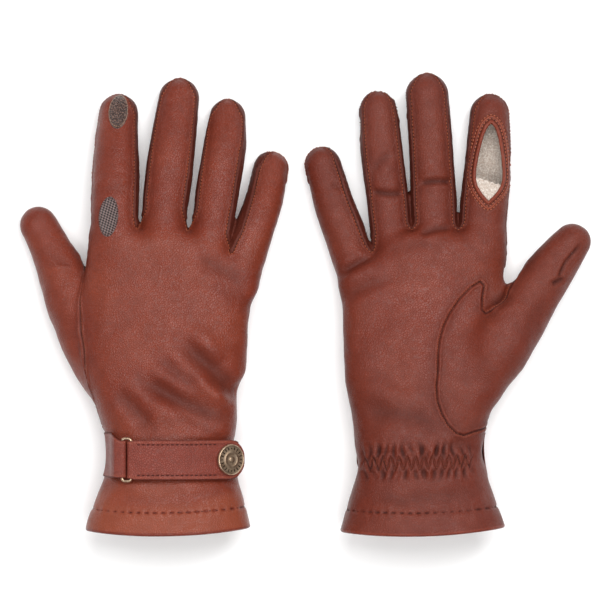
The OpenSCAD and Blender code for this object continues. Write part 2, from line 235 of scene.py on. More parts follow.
for g in GLOVES:
    opening = np.array([0.5 if g["flip"] else -0.5, -44, 0])  # the hand opening from the glove's origin
    g["origin"] = mount_origin(g["name"]) - opening
    g["beads"] = [chain(f, 13) for f in g["fingers"]]
    g["thumb_beads"] = chain(g["thumb"], 15)
    g["xl"] = smooth_line(g["left"][:, ::-1], 2.5)
    g["xr"] = smooth_line(g["right"][:, ::-1], 2.5)
    g["half_t"] = smooth_line(THICK, 3)
    g["rise"] = g["lift"] * ease((YS - 10) / 100)
    g["mid"] = []
    for b in g["beads"]:
        g["mid"].append([np.interp(YS, b[:, 1], b[:, k]) for k in (0, 2, 3)])
    f0, f1 = np.array(g["hook"]), np.array(g["loop"])
    g["fold"] = (f0 + f1) / 2
    g["fold_dir"] = (f1 - f0) / np.linalg.norm(f1 - f0)


def at(g, key, y):
    return np.interp(y, YS, g[key])


def hand_distance(P, g):
    x, y, z = P.T
    xl, xr, b = at(g, "xl", y), at(g, "xr", y), at(g, "half_t", y)
    X, Z = x - (xl + xr) / 2, z - at(g, "rise", y)
    a = (xr - xl) / 2
    power = 2.35
    s = ((np.abs(X) / a) ** power + (np.abs(Z) / b) ** power) ** (1 / power) + 1e-6
    d = np.hypot(X, Z) * (1 - 1 / s)
    # a wide flat section is steeper across than along, so distances at its sides are eased
    d *= 0.93
    end = 123 - 13 * ease((x - 6) / 26)
    d = smax(d, (y - end) * 0.95, 9)
    # under the strap the leather is pressed to the drum that the strap lies on
    drum = np.hypot(x - DRUM[0], z - DRUM[2]) - (DRUM_R - 0.35)
    under = ease(1 - (np.abs(y - DRUM[1]) - 9) / 7) * ease((z - 4) / 6)
    return np.where(under > 0, d + under * (smax(d, drum, 3) - d), d)


def distance(P, g):
    """Signed distance from points to the glove's smooth outer form."""
    hand = hand_distance(P, g)
    fingers = np.full(len(P), 60.0)
    for b in g["beads"]:
        fingers = smin(fingers, tube(P, b), 1.6)
    d = smin(hand, fingers, 7)
    return smin(d, tube(P, g["thumb_beads"]), g["web"])


# ---------------------------------------------------------------- meshes as arrays


def surface_nets(F, origin, h):
    """Vertices and quads of the surface where the grid F crosses zero."""
    n = np.array(F.shape)
    cells = n - 1
    flat = lambda c: (c[:, 0] * cells[1] + c[:, 1]) * cells[2] + c[:, 2]
    total = np.zeros((cells.prod(), 3))
    count = np.zeros(cells.prod())
    faces = []
    inside = F < 0
    for ax in range(3):
        lo = [slice(None)] * 3
        hi = [slice(None)] * 3
        lo[ax], hi[ax] = slice(0, -1), slice(1, None)
        cross = inside[tuple(lo)] != inside[tuple(hi)]
        idx = np.argwhere(cross)
        va, vb = F[tuple(lo)][cross], F[tuple(hi)][cross]
        pos = idx.astype(float)
        pos[:, ax] += va / (va - vb)
        b, c = (ax + 1) % 3, (ax + 2) % 3
        ring = []
        good = np.ones(len(idx), bool)
        for db, dc in ((1, 1), (0, 1), (0, 0), (1, 0)):
            cell = idx.copy()
            cell[:, b] -= db
            cell[:, c] -= dc
            ok = ((cell >= 0) & (cell < cells)).all(1)
            good &= ok
            ids = np.where(ok, flat(np.clip(cell, 0, cells - 1)), 0)
            for k in range(3):
                total[:, k] += np.bincount(ids[ok], pos[ok, k], len(total))
            count += np.bincount(ids[ok], minlength=len(total))
            ring.append(ids)
        q = np.stack(ring, 1)[good]
        out = va[good] < 0
        q[~out] = q[~out][:, ::-1]
        faces.append(q)
    faces = np.vstack(faces)
    used = np.unique(faces)
    remap = np.zeros(len(total), int)
    remap[used] = np.arange(len(used))
    return total[used] / count[used, None] * h + origin, remap[faces]


def surface(g, level, h):
    """Triangles of the glove's form, level millimetres inside it."""
    lo, hi = np.array([-100.0, -58, -36]), np.array([74.0, 216, 36 + g["lift"] * 0.4])
    n = np.ceil((hi - lo) / h).astype(int) + 1
    block = max(3, int(round(5 / h)))
    cn = np.ceil(n / block).astype(int)
    centre = np.stack(np.meshgrid(*[(np.arange(c) + 0.5) * block for c in cn], indexing="ij"), -1)
    centre = centre.reshape(-1, 3) * h + lo
    dc = distance(centre, g) + level
    reach = block * h * 0.87 * 1.35 + 1
    F = dc.reshape(cn)
    for axis in range(3):
        F = np.repeat(F, block, axis)
    F = F[: n[0], : n[1], : n[2]].copy()
    near = np.argwhere(np.abs(F) < reach)
    values = np.empty(len(near))
    for i in range(0, len(near), 200000):
        values[i : i + 200000] = distance(near[i : i + 200000] * h + lo, g) + level
    F[tuple(near.T)] = values
    V, Q = surface_nets(F, lo, h)
    V = settle(V, g, level, 2)
    return V, np.vstack([Q[:, [0, 1, 2]], Q[:, [0, 2, 3]]])


def slope(P, g, e=0.4):
    """Unit outward normals of the glove's form at points near it."""
    n = np.stack([distance(P + v, g) - distance(P - v, g) for v in np.eye(3) * e], 1)
    return n / (np.linalg.norm(n, axis=1)[:, None] + 1e-9)


def settle(P, g, level, times):
    """Moves points onto the glove's form."""
    for _ in range(times):
        e = 0.4
        grad = np.stack([distance(P + v, g) - distance(P - v, g) for v in np.eye(3) * e], 1) / (2 * e)
        d = distance(P, g) + level
        P = P - grad * np.clip(d / ((grad**2).sum(1) + 1e-6), -1.5, 1.5)[:, None]
    return P


def refine(V, T, want, times):
    """Halves the edges that are longer than wanted, and keeps the mesh whole."""
    for _ in range(times):
        E = np.sort(T[:, [0, 1, 1, 2, 2, 0]].reshape(-1, 2), 1)
        key, inv = np.unique(E[:, 0] * len(V) + E[:, 1], return_inverse=True)
        a, b = key // len(V), key % len(V)
        mid = (V[a] + V[b]) / 2
        split = np.linalg.norm(V[a] - V[b], axis=1) > 1.35 * want(mid)
        new = np.where(split, np.cumsum(split) - 1 + len(V), -1)
        V = np.vstack([V, mid[split]])
        M = new[inv].reshape(-1, 3)  # new vertex on edges 01, 12, 20
        k = (M >= 0).sum(1)
        out = [T[k == 0]]
        full, m = T[k == 3], M[k == 3]
        out += [np.stack(v, 1) for v in ((full[:, 0], m[:, 0], m[:, 2]), (m[:, 0], full[:, 1], m[:, 1]),
                                        (m[:, 2], m[:, 1], full[:, 2]), (m[:, 0], m[:, 1], m[:, 2]))]
        one, m = T[k == 1], M[k == 1]
        r = (m >= 0).argmax(1)
        roll = (r[:, None] + np.arange(3)) % 3
        t, e = np.take_along_axis(one, roll, 1), m.max(1)
        out += [np.stack((t[:, 0], e, t[:, 2]), 1), np.stack((e, t[:, 1], t[:, 2]), 1)]
        two, m = T[k == 2], M[k == 2]
        r = ((m < 0).argmax(1) + 1) % 3  # roll so that edges 01 and 12 are the split ones
        roll = (r[:, None] + np.arange(3)) % 3
        t, e = np.take_along_axis(two, roll, 1), np.take_along_axis(m, roll, 1)
        out += [np.stack(v, 1) for v in ((e[:, 0], t[:, 1], e[:, 1]), (t[:, 0], e[:, 0], e[:, 1]),
                                        (t[:, 0], e[:, 1], t[:, 2]))]
        T = np.vstack(out)
    return V, T


def crossings(T, f):
    """The triangles that f changes sign in, each with its odd corner first, and the edges that are cut."""
    s = f[T] < 0
    k = s.sum(1)
    mixed = (k == 1) | (k == 2)
    M, sm = T[mixed], s[mixed]
    odd_in = sm.sum(1) == 1
    odd = np.where(odd_in, sm.argmax(1), (~sm).argmax(1))
    R = np.take_along_axis(M, (odd[:, None] + np.arange(3)) % 3, 1)
    E = np.sort(np.vstack([R[:, [0, 1]], R[:, [0, 2]]]), 1)
    n = len(f)
    key, inv = np.unique(E[:, 0] * n + E[:, 1], return_inverse=True)
    a, b = key // n, key % n
    t = f[a] / (f[a] - f[b])
    return k, R, odd_in, a, b, t, inv[: len(R)], inv[len(R) :]


def cut(A, T, f):
    """Splits a mesh along f = 0 into the side where f is negative and the other. A holds a row per vertex."""
    f = np.where(np.abs(f) < 1e-4, 1e-4, f)
    k, R, odd_in, a, b, t, ab, ac = crossings(T, f)
    A2 = np.vstack([A, A[a] * (1 - t)[:, None] + A[b] * t[:, None]])
    ab, ac = ab + len(A), ac + len(A)
    lone = np.stack([R[:, 0], ab, ac], 1)
    rest = np.vstack([np.stack([ab, R[:, 1], R[:, 2]], 1), np.stack([ab, R[:, 2], ac], 1)])
    twice = np.concatenate([odd_in, odd_in])
    neg = np.vstack([T[k == 3], lone[odd_in], rest[~twice]])
    pos = np.vstack([T[k == 0], lone[~odd_in], rest[twice]])
    return tidy(A2, neg), tidy(A2, pos)


def tidy(A, T):
    used = np.unique(T)
    remap = np.zeros(len(A), int)
    remap[used] = np.arange(len(used))
    return A[used], remap[T]


def isolines(A, T, f):
    """The lines where f = 0, each as rows of A in order, with whether it is closed."""
    f = np.where(np.abs(f) < 1e-5, 1e-5, f)
    _, R, _, a, b, t, ab, ac = crossings(T, f)
    if len(R) == 0:
        return []
    P = A[a] * (1 - t)[:, None] + A[b] * t[:, None]
    links = [[] for _ in range(len(P))]
    for p, q in zip(ab, ac):
        links[p].append(q)
        links[q].append(p)
    seen = np.zeros(len(P), bool)
    lines = []
    order = sorted(range(len(P)), key=lambda i: len(links[i]))
    for s in order:
        if seen[s]:
            continue
        run = [s]
        seen[s] = True
        while True:
            nxt = [q for q in links[run[-1]] if not seen[q]]
            if not nxt:
                break
            run.append(nxt[0])
            seen[nxt[0]] = True
        closed = len(run) > 3 and run[0] in links[run[-1]]
        if len(run) > 3:
            lines.append((P[run], closed))
    return lines


def rim_edges(T):
    """Directed edges that only one triangle uses."""
    E = T[:, [0, 1, 1, 2, 2, 0]].reshape(-1, 2)
    n = T.max() + 1
    key = E[:, 0] * n + E[:, 1]
    back = E[:, 1] * n + E[:, 0]
    return E[~np.isin(key, back)]


def solid(V, N, T, inward, outward=0.0):
    """A sheet given thickness along its normals, as vertices, faces and the edges to keep sharp."""
    n = len(V)
    rim = rim_edges(T)
    faces = [T, T[:, ::-1] + n]
    quads = np.stack([rim[:, 1], rim[:, 0], rim[:, 0] + n, rim[:, 1] + n], 1)
    sharp = np.vstack([rim, rim + n])
    return np.vstack([V + N * outward, V - N * inward]), faces, quads, sharp


# ---------------------------------------------------------------- into Blender


def world(V, g):
    """A glove's own millimetres to the row frame's metres."""
    return (V * ([-1, 1, -1] if g["flip"] else [1, 1, 1]) + g["origin"]) / 1000


def add_mesh(name, V, faces, material, g, sharp=None, shade=None):
    """One object from arrays. faces is a list of arrays of triangles or quads."""
    V = world(V, g)
    mesh = bpy.data.meshes.new(name)
    loops = np.concatenate([f.reshape(-1) for f in faces]).astype(np.int32)
    sizes = np.concatenate([np.full(len(f), f.shape[1]) for f in faces]).astype(np.int32)
    mesh.vertices.add(len(V))
    mesh.vertices.foreach_set("co", V.astype(np.float32).reshape(-1))
    mesh.loops.add(len(loops))
    mesh.loops.foreach_set("vertex_index", loops)
    mesh.polygons.add(len(sizes))
    mesh.polygons.foreach_set("loop_start", np.concatenate([[0], np.cumsum(sizes)[:-1]]).astype(np.int32))
    mesh.polygons.foreach_set("loop_total", sizes)
    mesh.polygons.foreach_set("use_smooth", np.full(len(sizes), True))
    mesh.update(calc_edges=True)
    if sharp is not None and len(sharp):
        E = np.empty(len(mesh.edges) * 2, np.int32)
        mesh.edges.foreach_get("vertices", E)
        E = np.sort(E.reshape(-1, 2), 1).astype(np.int64)
        S = np.sort(sharp, 1)
        mark = np.isin(E[:, 0] * len(V) + E[:, 1], S[:, 0] * len(V) + S[:, 1])
        mesh.attributes.new("sharp_edge", "BOOLEAN", "EDGE").data.foreach_set("value", mark)
    tone = np.zeros(len(V)) if shade is None else shade
    mesh.attributes.new("shade", "FLOAT", "POINT").data.foreach_set("value", tone.astype(np.float32))
    mesh.validate()
    obj = bpy.data.objects.new(name, mesh)
    bpy.context.collection.objects.link(obj)
    obj.data.materials.append(material)
    return obj


def unit(v):
    return v / (np.linalg.norm(v, axis=-1, keepdims=True) + 1e-12)


def sweep(path, normals, ring, closed):
    """A ring of (across, up) points swept along a path, as vertices and faces."""
    path = np.asarray(path, float)
    n, m = len(path), len(ring[0]) if np.ndim(ring) == 3 else len(ring)
    if closed:
        tangent = unit(np.roll(path, -1, 0) - np.roll(path, 1, 0))
    else:
        tangent = unit(np.gradient(path, axis=0))
    side = unit(np.cross(tangent, normals))
    up = np.cross(side, tangent)
    rings = np.broadcast_to(ring, (n, m, 2))
    V = path[:, None] + rings[..., :1] * side[:, None] + rings[..., 1:] * up[:, None]
    i = np.arange(n if closed else n - 1)[:, None]
    j = np.arange(m)[None]
    i2, j2 = (i + 1) % n, (j + 1) % m
    quads = np.stack([i * m + j, i2 * m + j, i2 * m + j2, i * m + j2], -1).reshape(-1, 4)
    faces = [quads]
    V = V.reshape(-1, 3)
    if not closed:
        first, last = V[:m].mean(0), V[-m:].mean(0)
        V = np.vstack([V, first, last])
        k = np.arange(m)
        faces.append(np.stack([np.full(m, n * m), k, (k + 1) % m], 1))
        faces.append(np.stack([np.full(m, n * m + 1), (n - 1) * m + (k + 1) % m, (n - 1) * m + k], 1))
    return V, faces


def circle_ring(r, n, flat=1.0):
    a = np.arange(n) / n * 2 * math.pi
    return np.stack([r * np.cos(a), r * flat * np.sin(a)], 1)


def resample(line, closed, pitch):
    """Rows at even spacing along a line, about pitch apart. The first three columns are positions."""
    L = np.vstack([line, line[:1]]) if closed else line
    s = np.concatenate([[0], np.cumsum(np.linalg.norm(np.diff(L[:, :3], axis=0), axis=1))])
    keep = np.concatenate([[True], np.diff(s) > 1e-9])
    L, s = L[keep], s[keep]
    n = max(3, int(round(s[-1] / pitch)))
    t = np.linspace(0, s[-1], n, endpoint=not closed)
    return np.stack([np.interp(t, s, L[:, k]) for k in range(L.shape[1])], 1)


def smooth_rows(R, closed, times):
    for _ in range(times):
        if closed:
            R = (np.roll(R, 1, 0) + 2 * R + np.roll(R, -1, 0)) / 4
        else:
            R = np.vstack([R[:1], (R[:-2] + 2 * R[1:-1] + R[2:]) / 4, R[-1:]])
    return R


def stitch_template(length, radius):
    """One stitch lying along X: a short thread that dips into the leather at both ends."""
    t = np.linspace(-1, 1, 7)
    path = np.stack([t * length / 2, 0 * t, radius * (0.75 - 1.6 * t**4)], 1)
    taper = np.sqrt(np.clip(1.05 - t**6, 0.05, 1))
    ring = circle_ring(radius, 6)
    rings = ring[None] * taper[:, None, None]
    return sweep(path, np.tile([0.0, 0, 1], (7, 1)), rings, False)


def stitches(rows, length, radius, sink=0.0, turn=0.0):
    """Stitches at rows of position and normal, along the run of the rows."""
    V0, F0 = stitch_template(length, radius)
    P, N = rows[:, :3], unit(rows[:, 3:6])
    tangent = unit(np.gradient(P, axis=0))
    side = unit(np.cross(N, tangent))
    if turn:
        c, s = math.cos(turn), math.sin(turn)
        tangent, side = tangent * c + side * s, side * c - tangent * s
    up = np.cross(tangent, side)
    V = P[:, None] - N[:, None] * sink
    for k, direction in enumerate((tangent, side, up)):
        V = V + V0[None, :, k : k + 1] * direction[:, None]
    n = len(V0)
    off = (np.arange(len(P)) * n)[:, None, None]
    return V.reshape(-1, 3), [(f[None] + off).reshape(-1, f.shape[1]) for f in F0]


def merge(parts):
    """Joins several (vertices, faces) into one."""
    V, F, n = [], [], 0
    for v, fs in parts:
        V.append(v)
        F += [f + n for f in fs]
        n += len(v)
    return np.vstack(V), F


# ---------------------------------------------------------------- seams, folds and openings


def ripple(P, size, seed):
    """Smooth uneven waves about size millimetres long, between about -1 and 1."""
    rng = np.random.default_rng(seed)
    warp = P + 0.35 * size * np.sin(P[:, [1, 2, 0]] * (2 * math.pi / (1.7 * size)) + rng.uniform(0, 6, 3))
    total = 0
    for _ in range(7):
        k = unit(rng.normal(size=3)) * 2 * math.pi / (size * rng.uniform(0.75, 1.5))
        total = total + np.sin(warp @ k + rng.uniform(0, 2 * math.pi))
    return total / 3.2


def line_distance(x, y, pts):
    """Distance to a line of points in the flat, and how far along it the nearest place is, from 0 to 1."""
    pts = np.array(pts, float)
    seg = np.linalg.norm(np.diff(pts, axis=0), axis=1)
    start = np.concatenate([[0], np.cumsum(seg)])
    best, along = np.full(len(x), 1e9), np.zeros(len(x))
    for a, b, s, n in zip(pts, pts[1:], start, seg):
        t = np.clip(((x - a[0]) * (b - a)[0] + (y - a[1]) * (b - a)[1]) / (n * n), 0, 1)
        d = np.hypot(x - a[0] - t * (b - a)[0], y - a[1] - t * (b - a)[1])
        near = d < best
        best = np.where(near, d, best)
        along = np.where(near, (s + t * n) / start[-1], along)
    return best, along


def polygon_distance(x, y, pts):
    """Signed distance to a closed outline in the flat, negative inside."""
    pts = np.array(pts, float)
    d, _ = line_distance(x, y, np.vstack([pts, pts[:1]]))
    inside = np.zeros(len(x), bool)
    for a, b in zip(pts, np.roll(pts, -1, 0)):
        if a[1] != b[1]:
            hit = ((a[1] > y) != (b[1] > y)) & (x < (b[0] - a[0]) * (y - a[1]) / (b[1] - a[1]) + a[0])
            inside ^= hit
    return np.where(inside, -d, d)


def nearest_finger(P, g):
    """Which finger each point is nearest to, and its place across and above that finger's middle."""
    x, y, z = P.T
    rel = [[x - np.interp(y, YS, m[0]), z - np.interp(y, YS, m[1]), np.interp(y, YS, m[2])] for m in g["mid"]]
    which = np.stack([np.abs(r[0]) - r[2] for r in rel]).argmin(0)
    rel = np.array(rel)
    nearest = rel[which, :, np.arange(len(P))]
    return which, nearest[:, 0], nearest[:, 1], nearest[:, 2]


def gap_line(g, k, y):
    """The middle of the gap between two neighbouring fingers, taken through the bottom of its fork."""
    def between(v):
        low, high = g["mid"][k], g["mid"][k + 1]
        return (np.interp(v, YS, low[0] + low[2]) + np.interp(v, YS, high[0] - high[2])) / 2

    fx, fy = g["forks"][k]
    return between(y) + (fx - between(fy)) * np.exp(-np.abs(y - fy) / 12), y - fy


def strip_field(P, g):
    """Negative on the side strips between the fingers, which end in a point at each fork."""
    which, X, Z, R = nearest_finger(P, g)
    y = P[:, 1]
    outer = ((which == 0) & (X < 0)) | ((which == 3) & (X > 0)) | (y < 96)
    h = FLAT * R * 0.6 * np.clip(np.abs(X) / (0.6 * R), 0, 1)
    gap = np.clip(which + (X > 0) - 1, 0, 2)
    lean = np.zeros(len(P))
    near_little, far = g["lean"]
    last = (gap == 2) & ~outer
    apart = ease((y - g["forks"][2][1]) / 16)
    middle = (near_little + far) / 2
    lean[last] = (middle + np.where(which == 3, near_little - middle, far - middle) * apart)[last]
    f = np.abs(Z - lean * R) - h
    for k in range(3):
        centre, past = gap_line(g, k, y)
        side = np.abs(P[:, 0] - centre)
        # a narrow point on the back, and a wider round end on the palm side
        wide = np.where(Z > 0, 0.34 * past, 0.24 * past + 2.0 * np.sqrt(np.clip(past / 2.2, 0, 1)))
        wedge = np.where(past > 0, side - wide, np.hypot(side, past)) * 0.93
        f = np.where((gap == k) & (past < 16), np.maximum(f, wedge), f)
    return np.where(outer, np.where(y > 150, np.abs(Z) + 0.2, 12.0), f)


def side_seam(P, g):
    """Distance to the seam down the outer side of the index finger."""
    which, X, Z, R = nearest_finger(P, g)
    y = P[:, 1]
    on = (which == 0) & (X < 0) & (y > 104)
    return np.where(on, np.abs(Z + 0.6), 30.0)


def thumb_field(P, g):
    """Negative on the thumb's leather. On the palm side it ends at the curved seam round the thumb's root."""
    x, y, z = P.T
    tongue = [(-34.6, 96), (-32.5, 98.5), (-27.5, 95.5), (-21, 89), (-15.5, 81), (-12, 74), (-9.8, 66),
              (-9, 58), (-8.8, 49), (-8, 41), (-8.6, 33), (-11, 26), (-14.5, 20), (-19, 15.5), (-23, 14.3),
              (-28, 16), (-45, 21), (-130, 30), (-130, 160)]
    if g["flip"]:
        gap = [(-75, 140), (-52, 101), (-44, 88), (-38.5, 82.5), (-35, 81), (-33.2, 83), (-33.5, 90)]
    else:
        gap = [(-58, 140), (-49.5, 110), (-45, 97), (-38, 86), (-35, 84), (-33.5, 86), (-33.8, 91)]
    flat = polygon_distance(x, y, outline(tongue + gap))
    hand = smin(hand_distance(P, g), tube(P, g["beads"][0]), 7)
    nearer = tube(P, g["thumb_beads"]) - hand
    w = ease((z - at(g, "rise", y) + 3) / 8)
    return flat * (1 - w) + nearer * w


SLIT_T = (0, 0.1, 0.2, 0.3, 0.4, 0.6, 0.8, 0.9, 0.96, 1)
SLIT_HALF = (0, 0.52, 0.86, 1.0, 0.98, 0.83, 0.6, 0.42, 0.26, 0)


def slit_outline(g):
    p0, p1 = np.array(g["slit"][0]), np.array(g["slit"][1])
    t = np.linspace(0, 1, 48)
    # pointed at its lower end, widest a third of the way up, and nearly pointed at the top
    half = 8.1 * np.interp(t, SLIT_T, SLIT_HALF)
    half[1:-1] = (half[:-2] + half[1:-1] + half[2:]) / 3
    base = p0 + (p1 - p0) * t[:, None]
    across = np.array([(p1 - p0)[1], -(p1 - p0)[0]]) / np.linalg.norm(p1 - p0)
    return np.vstack([base + across * half[:, None], (base - across * half[:, None])[1:-1][::-1]])


def slit_field(P, g):
    """Signed distance to the slit's edge on the palm side of the index finger, negative in the opening."""
    d = np.full(len(P), 30.0)
    near = (P[:, 1] > 120) & (P[:, 1] < 200) & (P[:, 0] < -10)
    Q = P[near]
    zc = np.interp(Q[:, 1], YS, g["mid"][0][1])
    f = polygon_distance(Q[:, 0], Q[:, 1], slit_outline(g))
    d[near] = np.where(Q[:, 2] < zc, f, 30.0)
    return d


def fleece_hole(P, g):
    """Negative where the lining is open too: over the slit, above an uneven edge near its lower end."""
    x0, y0 = g["slit"][0]
    x = P[:, 0] - x0
    edge = y0 + 12.4 + 0.36 * x + 0.35 * np.sin(2.1 * x) + 0.2 * np.sin(4.7 * x)
    return np.maximum(slit_field(P, g), edge - P[:, 1])


def along_fold(P, g):
    """How far each point is past the fold line of the index fingertip."""
    return (P[:, :2] - g["fold"]) @ g["fold_dir"]


FOLD_START = -11.0  # where the fingertip's leather begins, just before the bend


def hood_field(P, g, start=FOLD_START):
    """Negative on what folds back with the index fingertip."""
    v = along_fold(P, g)
    index = P[:, 0] < (np.interp(P[:, 1], YS, g["mid"][0][0]) + np.interp(P[:, 1], YS, g["mid"][1][0])) / 2
    return np.where(index & (P[:, 1] > 135), start - v, 30.0)


def patch_field(P, g, centre, size, level):
    d = g["fold_dir"]
    v = P[:, :2] - centre
    u, w = v @ np.array([d[1], -d[0]]), v @ d
    f = (np.hypot(u / size[0], w / size[1]) - 1) * min(size)
    return np.where(P[:, 2] > level, f, 30.0)


def cuff_edge(x, g):
    return -41.8 + 3.0 * (x / 45) ** 2 + g["cuff_tilt"] * x


def hem_field(P, g):
    x, y, _ = P.T
    return y - (-30.2 + 2.4 * (x / 45) ** 2 + g["cuff_tilt"] * 0.8 * x)


CREASES = {
    # side of the hand (1 is the back), points along the fold, depth and width
    "palm_down": [
        (1, [(4, 68), (12.6, 59.5), (23.6, 50), (40, 32)], 2.1, 4.8),
        (1, [(-22, 48), (-6.6, 39.5), (4.4, 33.5), (16.5, 28), (38, 20)], 2.5, 4.6),
        (1, [(-32, 41), (-20.3, 29.6), (-8, 14)], 1.5, 4.6),
        (1, [(-8, 58), (4.4, 47.5), (16, 39)], 1.2, 3.6),
        (1, [(10, 75), (19, 64), (27, 53)], -1.6, 6),
        (1, [(11, 48), (22, 39), (32, 30)], -1.8, 4.4),
        (1, [(12, 30), (24, 24), (35, 16)], -1.4, 4.5),
        (1, [(0, 28), (14, 21), (30, 12)], 0.8, 3.5),
        (1, [(12, 114), (26, 106), (44, 95)], 1.3, 4.6),
        (1, [(22, 98), (36, 90), (48, 80)], 0.7, 4),
        (1, [(-40, 100), (-41, 80), (-37, 60)], -0.6, 7),
        (1, [(-42, 147), (-31, 150), (-19, 148)], 0.45, 2.6),
        (1, [(-41, 156), (-31, 153), (-21, 157)], -0.4, 3.2),
        (1, [(-44, -19), (-15, -22), (12, -20), (38, -14)], 0.7, 4),
        (-1, [(29, 111), (43, 103)], 1.1, 2.2),
        (-1, [(0.5, 153), (-18, 154)], 0.9, 1.8),
        (-1, [(27.5, 148), (9.5, 147)], 0.9, 1.8),
    ],
    "palm_up": [
        (-1, [(25, 113), (34, 109), (46, 102)], 1.5, 2.2),
        (-1, [(22, 106), (34, 101), (47, 96)], -0.6, 3.4),
        (-1, [(12, 101), (28, 97), (44, 89)], 0.8, 3.2),
        (-1, [(1.5, 152.4), (-8, 153.6), (-18.5, 153.4)], 1.1, 1.6),
        (-1, [(2, 157), (-8, 158.5), (-18, 158)], -0.5, 3),
        (-1, [(28, 148), (18, 146.6), (8.6, 147)], 1.0, 1.7),
        (-1, [(27.5, 158), (22, 165), (15, 170)], 0.8, 2.6),
        (-1, [(28, 152), (18, 152.5), (10, 152)], -0.4, 2.6),
        (-1, [(1, 124), (-8, 127), (-17, 128.5)], 0.8, 1.8),
        (-1, [(-14, 116), (4, 119), (22, 113)], 0.5, 3),
        (-1, [(-30, 120), (-20, 118), (-4, 121)], -0.4, 3),
        (-1, [(50, 152), (42, 150)], 0.5, 2),
        (-1, [(36, 30), (20, 27), (0, 24), (-12, 14)], 1.0, 5),
        (-1, [(40, 40), (22, 38), (2, 34)], -0.6, 6),
        (-1, [(-12, 8), (-22, 10), (-32, 6)], 0.9, 3),
        (-1, [(-36, 87), (-42, 88), (-48, 94)], 1.6, 3.4),
        (-1, [(-30, 90), (-36, 80), (-45, 76)], 0.5, 3),
        (-1, [(38, -16), (10, -21), (-20, -18), (-38, -12)], 0.6, 4),
        (-1, [(-87.5, 119), (-79, 109), (-74.5, 99)], 1.2, 0.8),
        (-1, [(-78.6, 100), (-71.5, 97)], 1.3, 1.2),
        (-1, [(-70, 92), (-62, 80), (-56, 66)], 0.5, 5),
    ],
}
ELASTIC_Y, ELASTIC_TILT, ELASTIC_X0, ELASTIC_X1 = -2.9, -0.028, -26.0, 32.0
ZIG, ZIG_H = 4.6, 3.5  # the zigzag's pitch and half height
HEM_PITCH = 4.6


def seam_distance(P, g):
    s = np.abs(strip_field(P, g)) / 0.8
    s = np.minimum(s, side_seam(P, g))
    return np.minimum(s, np.abs(thumb_field(P, g)))


